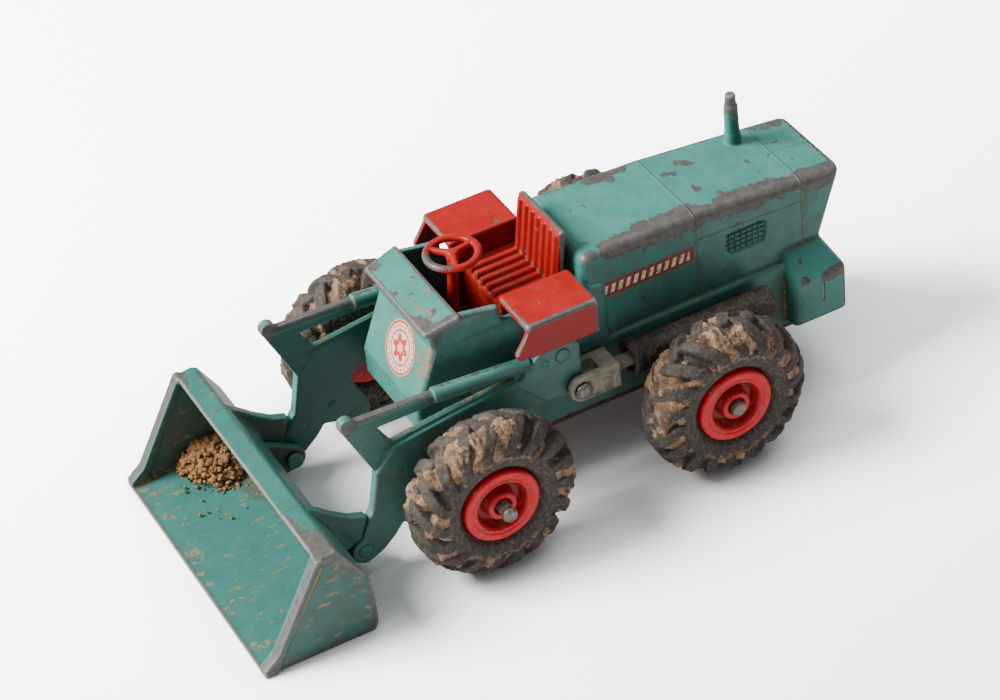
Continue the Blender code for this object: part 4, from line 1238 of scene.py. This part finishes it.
def ram_barrel(side_name, side):
    """Barrel and collar in black paint, turned about its length."""
    low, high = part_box("ram_barrel_" + side_name)
    front = (low.y - AXLE_Y) / MM
    rear = (high.y - AXLE_Y) / MM
    profile = [(0.0, rear - 4.0), (1.75, rear - 4.0), (1.75, front + 0.2), (2.0, front), (2.45, front),
               (2.75, front + 0.3), (2.75, front + 1.3), (2.62, front + 1.5), (2.62, front + 2.0),
               (2.75, front + 2.2), (2.75, front + 3.4), (2.45, front + 3.7), (2.3, front + 3.8),
               (2.3, rear - 0.3), (2.1, rear), (0.0, rear)]
    shape = turned(rounded(profile, 0.18, False), 1, 72, False)
    bmesh.ops.transform(shape, matrix=Matrix.Rotation(math.radians(90), 4, "Z"), verts=shape.verts)
    for vertex in shape.verts:
        swell = 1.0 + 0.035 * noise.noise(vertex.co * 700.0)
        vertex.co.x *= swell
        vertex.co.z *= swell
    obj = new_object("barrel_muddy_" + side_name, shape)
    place_piece(obj, BLACK, "chassis", ("ram_barrel_" + side_name,),
                (side * RAM_X, 0.0, middle("ram_barrel_left").z / MM))


# ---------------------------------------------------------------- wheels
LUGS = 18
LUG_HEIGHT = 1.15


def tyre_path(spacing=0.19):
    """Evenly spaced (x, radius, distance from the crown) along the carcass, inner bead to outer bead."""
    half = [(0.0, 11.45), (0.9, 11.4), (1.7, 11.1), (2.4, 10.6), (3.05, 9.9), (3.65, 9.1), (4.0, 8.2),
            (3.9, 7.3), (3.55, 6.6), (3.0, 6.1)]
    full = [(-x, r) for x, r in reversed(half[1:])] + half
    curve = [Vector(point) for point in rounded(full, 5.0, False, 5)]
    lengths = [0.0]
    for first, second in zip(curve, curve[1:]):
        lengths.append(lengths[-1] + (second - first).length)
    total = lengths[-1]
    count = int(total / spacing)
    points = []
    place = 0
    for index in range(count + 1):
        target = total * index / count
        while place < len(lengths) - 2 and lengths[place + 1] < target:
            place += 1
        share = (target - lengths[place]) / max(lengths[place + 1] - lengths[place], 1e-9)
        point = curve[place].lerp(curve[place + 1], share)
        points.append((point.x, point.y, target - total / 2))
    return points


def lug_height(angle, along, radius, lean):
    """Height of the moulded lugs on both sides of the crown, as arrays."""
    pitch = math.tau / LUGS
    best = np.zeros_like(angle)
    for side, offset in ((1, 0.0), (-1, 0.5)):
        reach = along * side
        skew = lean * 0.30 * np.clip(1.0 - reach / 4.6, 0.0, 1.3)
        phase = (angle - skew) / pitch - offset
        away = np.abs(phase - np.round(phase)) * pitch * radius
        half = np.interp(reach, [-0.8, 2.0, 3.8, 5.6], [1.05, 1.22, 1.15, 0.75])
        wall = np.clip((half - away) / 0.55 + 0.5, 0.0, 1.0)
        tall = np.interp(reach, [-1.0, -0.4, 2.8, 4.0, 4.9, 5.6], [0.0, 1.0, 1.0, 0.78, 0.42, 0.0])
        best = np.maximum(best, LUG_HEIGHT * tall * wall * wall * (3 - 2 * wall))
    return best


def tyre(corner, side, centre_y, lean, seed, heavy_angle):
    """Rubber tyre as one surface of height: lugs, sidewall rings and dried mud between the lugs."""
    steps = 560
    xs, rs, alongs = np.array(tyre_path()).T
    tangents = np.stack([np.gradient(xs), np.gradient(rs)], axis=1)
    tangents /= np.linalg.norm(tangents, axis=1)[:, None]
    normal_x = -tangents[:, 1]
    normal_r = tangents[:, 0]
    angles = np.arange(steps) * math.tau / steps
    angle, along = np.meshgrid(angles, alongs)
    radius = np.broadcast_to(rs[:, None], angle.shape)
    lugs = lug_height(angle, along, np.maximum(radius, 9.0) + 0.8, lean)
    patch, lump, grain = [np.empty(angle.shape) for _ in range(3)]
    shift = Vector((seed * 17.3, seed * 5.1, seed * 9.7))
    for row in range(angle.shape[0]):
        for column in range(steps):
            turn = angles[column]
            place = Vector((xs[row], rs[row] * math.cos(turn), rs[row] * math.sin(turn))) + shift
            for values, scale in ((patch, 0.24), (lump, 0.75), (grain, 2.4)):
                values[row, column] = noise.noise(place * scale)
    share = np.interp(np.abs(along), [0.0, 3.0, 4.2, 5.4], [1.0, 0.95, 0.55, 0.0])
    level = 0.22 + 1.5 * patch + 1.1 * lump + 0.25 * np.cos(angle - heavy_angle)
    mud = np.clip(level, 0.0, 1.12) * LUG_HEIGHT * share + 0.26 * grain * np.clip(level * 3, 0, 1) * share
    dashes = (np.abs(np.sin(angle)) > 0.74) * np.clip(1.5 * np.cos(angle * 54.0) + 0.8, 0.0, 1.0)
    rings = 0.10 * dashes * np.exp(-((radius - DASH_RING_R) / 0.34) ** 4)
    rings = rings + 0.07 * np.exp(-((radius - BEAD_RING_R) / 0.2) ** 2)
    rubber_height = lugs * (1.0 + 0.16 * lump + 0.06 * grain) + rings + 0.03 * grain + 0.05 * lump
    height = np.maximum(rubber_height, mud)
    caked = np.clip((mud - rubber_height) / 0.10 + 0.35, 0.0, 1.0) * (mud > 0.08)
    shape = bmesh.new()
    layer = shape.verts.layers.float.new("mud")
    raised = shape.verts.layers.float.new("lug")
    tops = np.clip(lugs / LUG_HEIGHT, 0.0, 1.0)
    loops = []
    for row in range(angle.shape[0]):
        loop = []
        for column in range(steps):
            lift = height[row, column]
            r = min(rs[row] + normal_r[row] * lift, WHEEL_R)
            x = max(-TYRE_HALF, min(TYRE_HALF, xs[row] + normal_x[row] * lift))
            turn = angles[column]
            vertex = shape.verts.new(local(side * x, r * math.cos(turn), r * math.sin(turn)))
            vertex[layer] = caked[row, column]
            vertex[raised] = tops[row, column]
            loop.append(vertex)
        loops.append(loop)
    for x, r in ((2.0, 5.45), (-2.0, 5.45)):
        loops.append([shape.verts.new(local(side * x, r * math.cos(turn), r * math.sin(turn)))
                      for turn in angles])
    join_rings(shape, loops, True)
    obj = new_object("tyre_mudded_" + corner, shape)
    place_piece(obj, RUBBER, "wheel_" + corner, ("tyre_" + corner,),
                (side * TYRE_MID_X, centre_y, WHEEL_R))


def hub(corner, side, centre_y):
    face = RIM_FACE_X - TYRE_MID_X
    inner = HUB_INNER_X - TYRE_MID_X
    profile = [(1.35, inner), (5.6, inner), (5.6, inner + 0.9), (5.0, inner + 1.6), (5.0, face - 1.9),
               (RIM_R, face - 1.3), (RIM_R, face - 0.28), (RIM_R - 0.30, face), (4.72, face),
               (4.60, face - 0.14), (4.42, face - 0.14), (4.30, face - 0.02), (4.02, face - 0.06),
               (3.72, face - 0.5), (3.45, face - 2.1), (2.45, face - 2.25), (2.25, face - 0.3),
               (2.05, face), (1.35, face - 0.05)]
    obj = new_object("hub_moulded_" + corner, turned(rounded(profile, 0.16), side, 120))
    place_piece(obj, PLASTIC, "wheel_" + corner, ("hub_" + corner,),
                (side * TYRE_MID_X, centre_y, WHEEL_R))


def axle(name, node, centre_y, crimped):
    """Steel axle: the front ends stand out with a crimped head, and the rear ends are domed."""
    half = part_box(node)[1].x / MM
    if crimped:
        end = [(0.0, half - 0.12), (0.35, half - 0.05), (0.75, half), (1.0, half - 0.15), (1.15, half - 0.55),
               (1.1, half - 0.95), (0.78, half - 1.25), (0.8, half - 1.5), (1.0, half - 1.75),
               (1.02, half - 2.6)]
    else:
        end = [(0.0, half), (0.8, half - 0.04), (1.05, half - 0.18), (1.15, half - 0.4), (1.15, half - 0.9),
               (0.98, half - 1.1), (1.0, half - 2.6)]
    end = rounded(end, 0.12, False)
    profile = end + [(radius, -x) for radius, x in reversed(end)]
    obj = new_object(name, turned(profile, 1, 48, False))
    place_piece(obj, STEEL, "chassis", (node,), (0.0, centre_y, WHEEL_R))


def painted_pin(node, body, side, pivot, inner_head):
    """Pin whose flush heads were painted over with the arm."""
    low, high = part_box(node)
    inner, outer = sorted((abs(low.x) / MM, abs(high.x) / MM))
    start = [(0.0, inner), (0.8, inner)]
    if inner_head:
        start = [(0.0, inner), (1.2, inner), (1.3, inner + 0.5), (0.8, inner + 0.5)]
    end = [(0.8, outer - 0.25), (1.1, outer - 0.22), (0.95, outer - 0.08), (0.5, outer - 0.02), (0.0, outer)]
    obj = new_object(node + "_painted", turned(rounded(start + end, 0.06, False), side, 40, False))
    # The pin heads take the full side film of dirt and painted shade, like the faces round them.
    set_attribute(obj.data, "side", np.ones(len(obj.data.vertices)))
    place_piece(obj, TEAL_PLAIN, body, (node,), (0.0, *pivot))


def kept_nodes():
    """CAD nodes whose shape is right get a soft edge and an aged material."""
    for node, material in (("base_plate", BLACK), ("base_rivet_front", ZINC), ("base_rivet_rear", ZINC)):
        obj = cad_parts[node]
        obj.data.materials.clear()
        obj.data.materials.append(material)
        soft = obj.modifiers.new("soft_edge", "BEVEL")
        soft.width = 0.12 * MM
        soft.segments = 2
        soft.limit_method = "ANGLE"


TEAL = (0.050, 0.220, 0.190)
TEAL_FADED = (0.066, 0.255, 0.225)
TEAL_DUST = (0.042, 0.070, 0.048)

place_camera()
studio()
floor()
TEAL_BODY = enamel("teal_enamel_body", TEAL, TEAL_FADED, TEAL_DUST, hood_relief)
# Painted shade: the bucket's teal is a darker copy of the body's teal, and its inward faces take a darker
# grey-brown, painted shade with dirt.
TEAL_BUCKET_SHADED = enamel("teal_enamel_bucket_shaded", (0.032, 0.148, 0.127), (0.037, 0.166, 0.144), TEAL_DUST,
                     bucket_relief, 0.62, inner=(0.050, 0.066, 0.046))
TEAL_ARM = enamel("teal_enamel_arm", TEAL, TEAL_FADED, TEAL_DUST, arm_relief)
TEAL_PLAIN = enamel("teal_enamel_plain", TEAL, TEAL_FADED, TEAL_DUST)
# For the red, the side film and the inward-face tone are darker reds: painted shade, with some dirt in the
# side film.
RED = enamel("red_enamel_worn", (0.345, 0.009, 0.008), (0.41, 0.016, 0.013), (0.13, 0.032, 0.024),
             gloss=0.24, side_grime_and_shade=(0.15, 0.010, 0.008), shine=0.22, inner=(0.15, 0.008, 0.006))
RUBBER = rubber()
PLASTIC = red_plastic()
BLACK = black_paint()
ZINC = old_metal("dull_zinc", (0.20, 0.185, 0.13), (0.34, 0.32, 0.24), (0.15, 0.115, 0.055), 0.35, 0.25, 0.42)
STEEL = old_metal("tarnished_steel", (0.11, 0.098, 0.086), (0.27, 0.25, 0.225), (0.11, 0.065, 0.035),
                  0.3, 0.6, 0.36)
SOIL = soil()
STRIP = side_strip()
BADGE = badge()

body_casting()
grille_wires()
side_strips()
nose_badge()
seat_unit()
steering_wheel()
bucket()
soil_heap()
for side_name, side in (("left", 1), ("right", -1)):
    lift_arm(side_name, side)
    ram_rod(side_name, side)
    ram_barrel(side_name, side)
    painted_pin("lift_pin_" + side_name, "chassis", side, LIFT_PIVOT, False)
    painted_pin("bucket_pin_" + side_name, "lift_frame", side, BUCKET_PIVOT, True)
for corner, side, centre_y, lean, seed, heavy in (("front_left", 1, 0.0, -1, 1, 2.3),
                                                  ("front_right", -1, 0.0, -1, 2, 1.6),
                                                  ("rear_left", 1, WHEELBASE, 1, 3, 2.0),
                                                  ("rear_right", -1, WHEELBASE, 1, 4, 1.4)):
    tyre(corner, side, centre_y, lean, seed, heavy)
    hub(corner, side, centre_y)
axle("front_axle_crimped", "front_axle", 0.0, True)
axle("rear_axle_domed", "rear_axle", WHEELBASE, False)
kept_nodes()
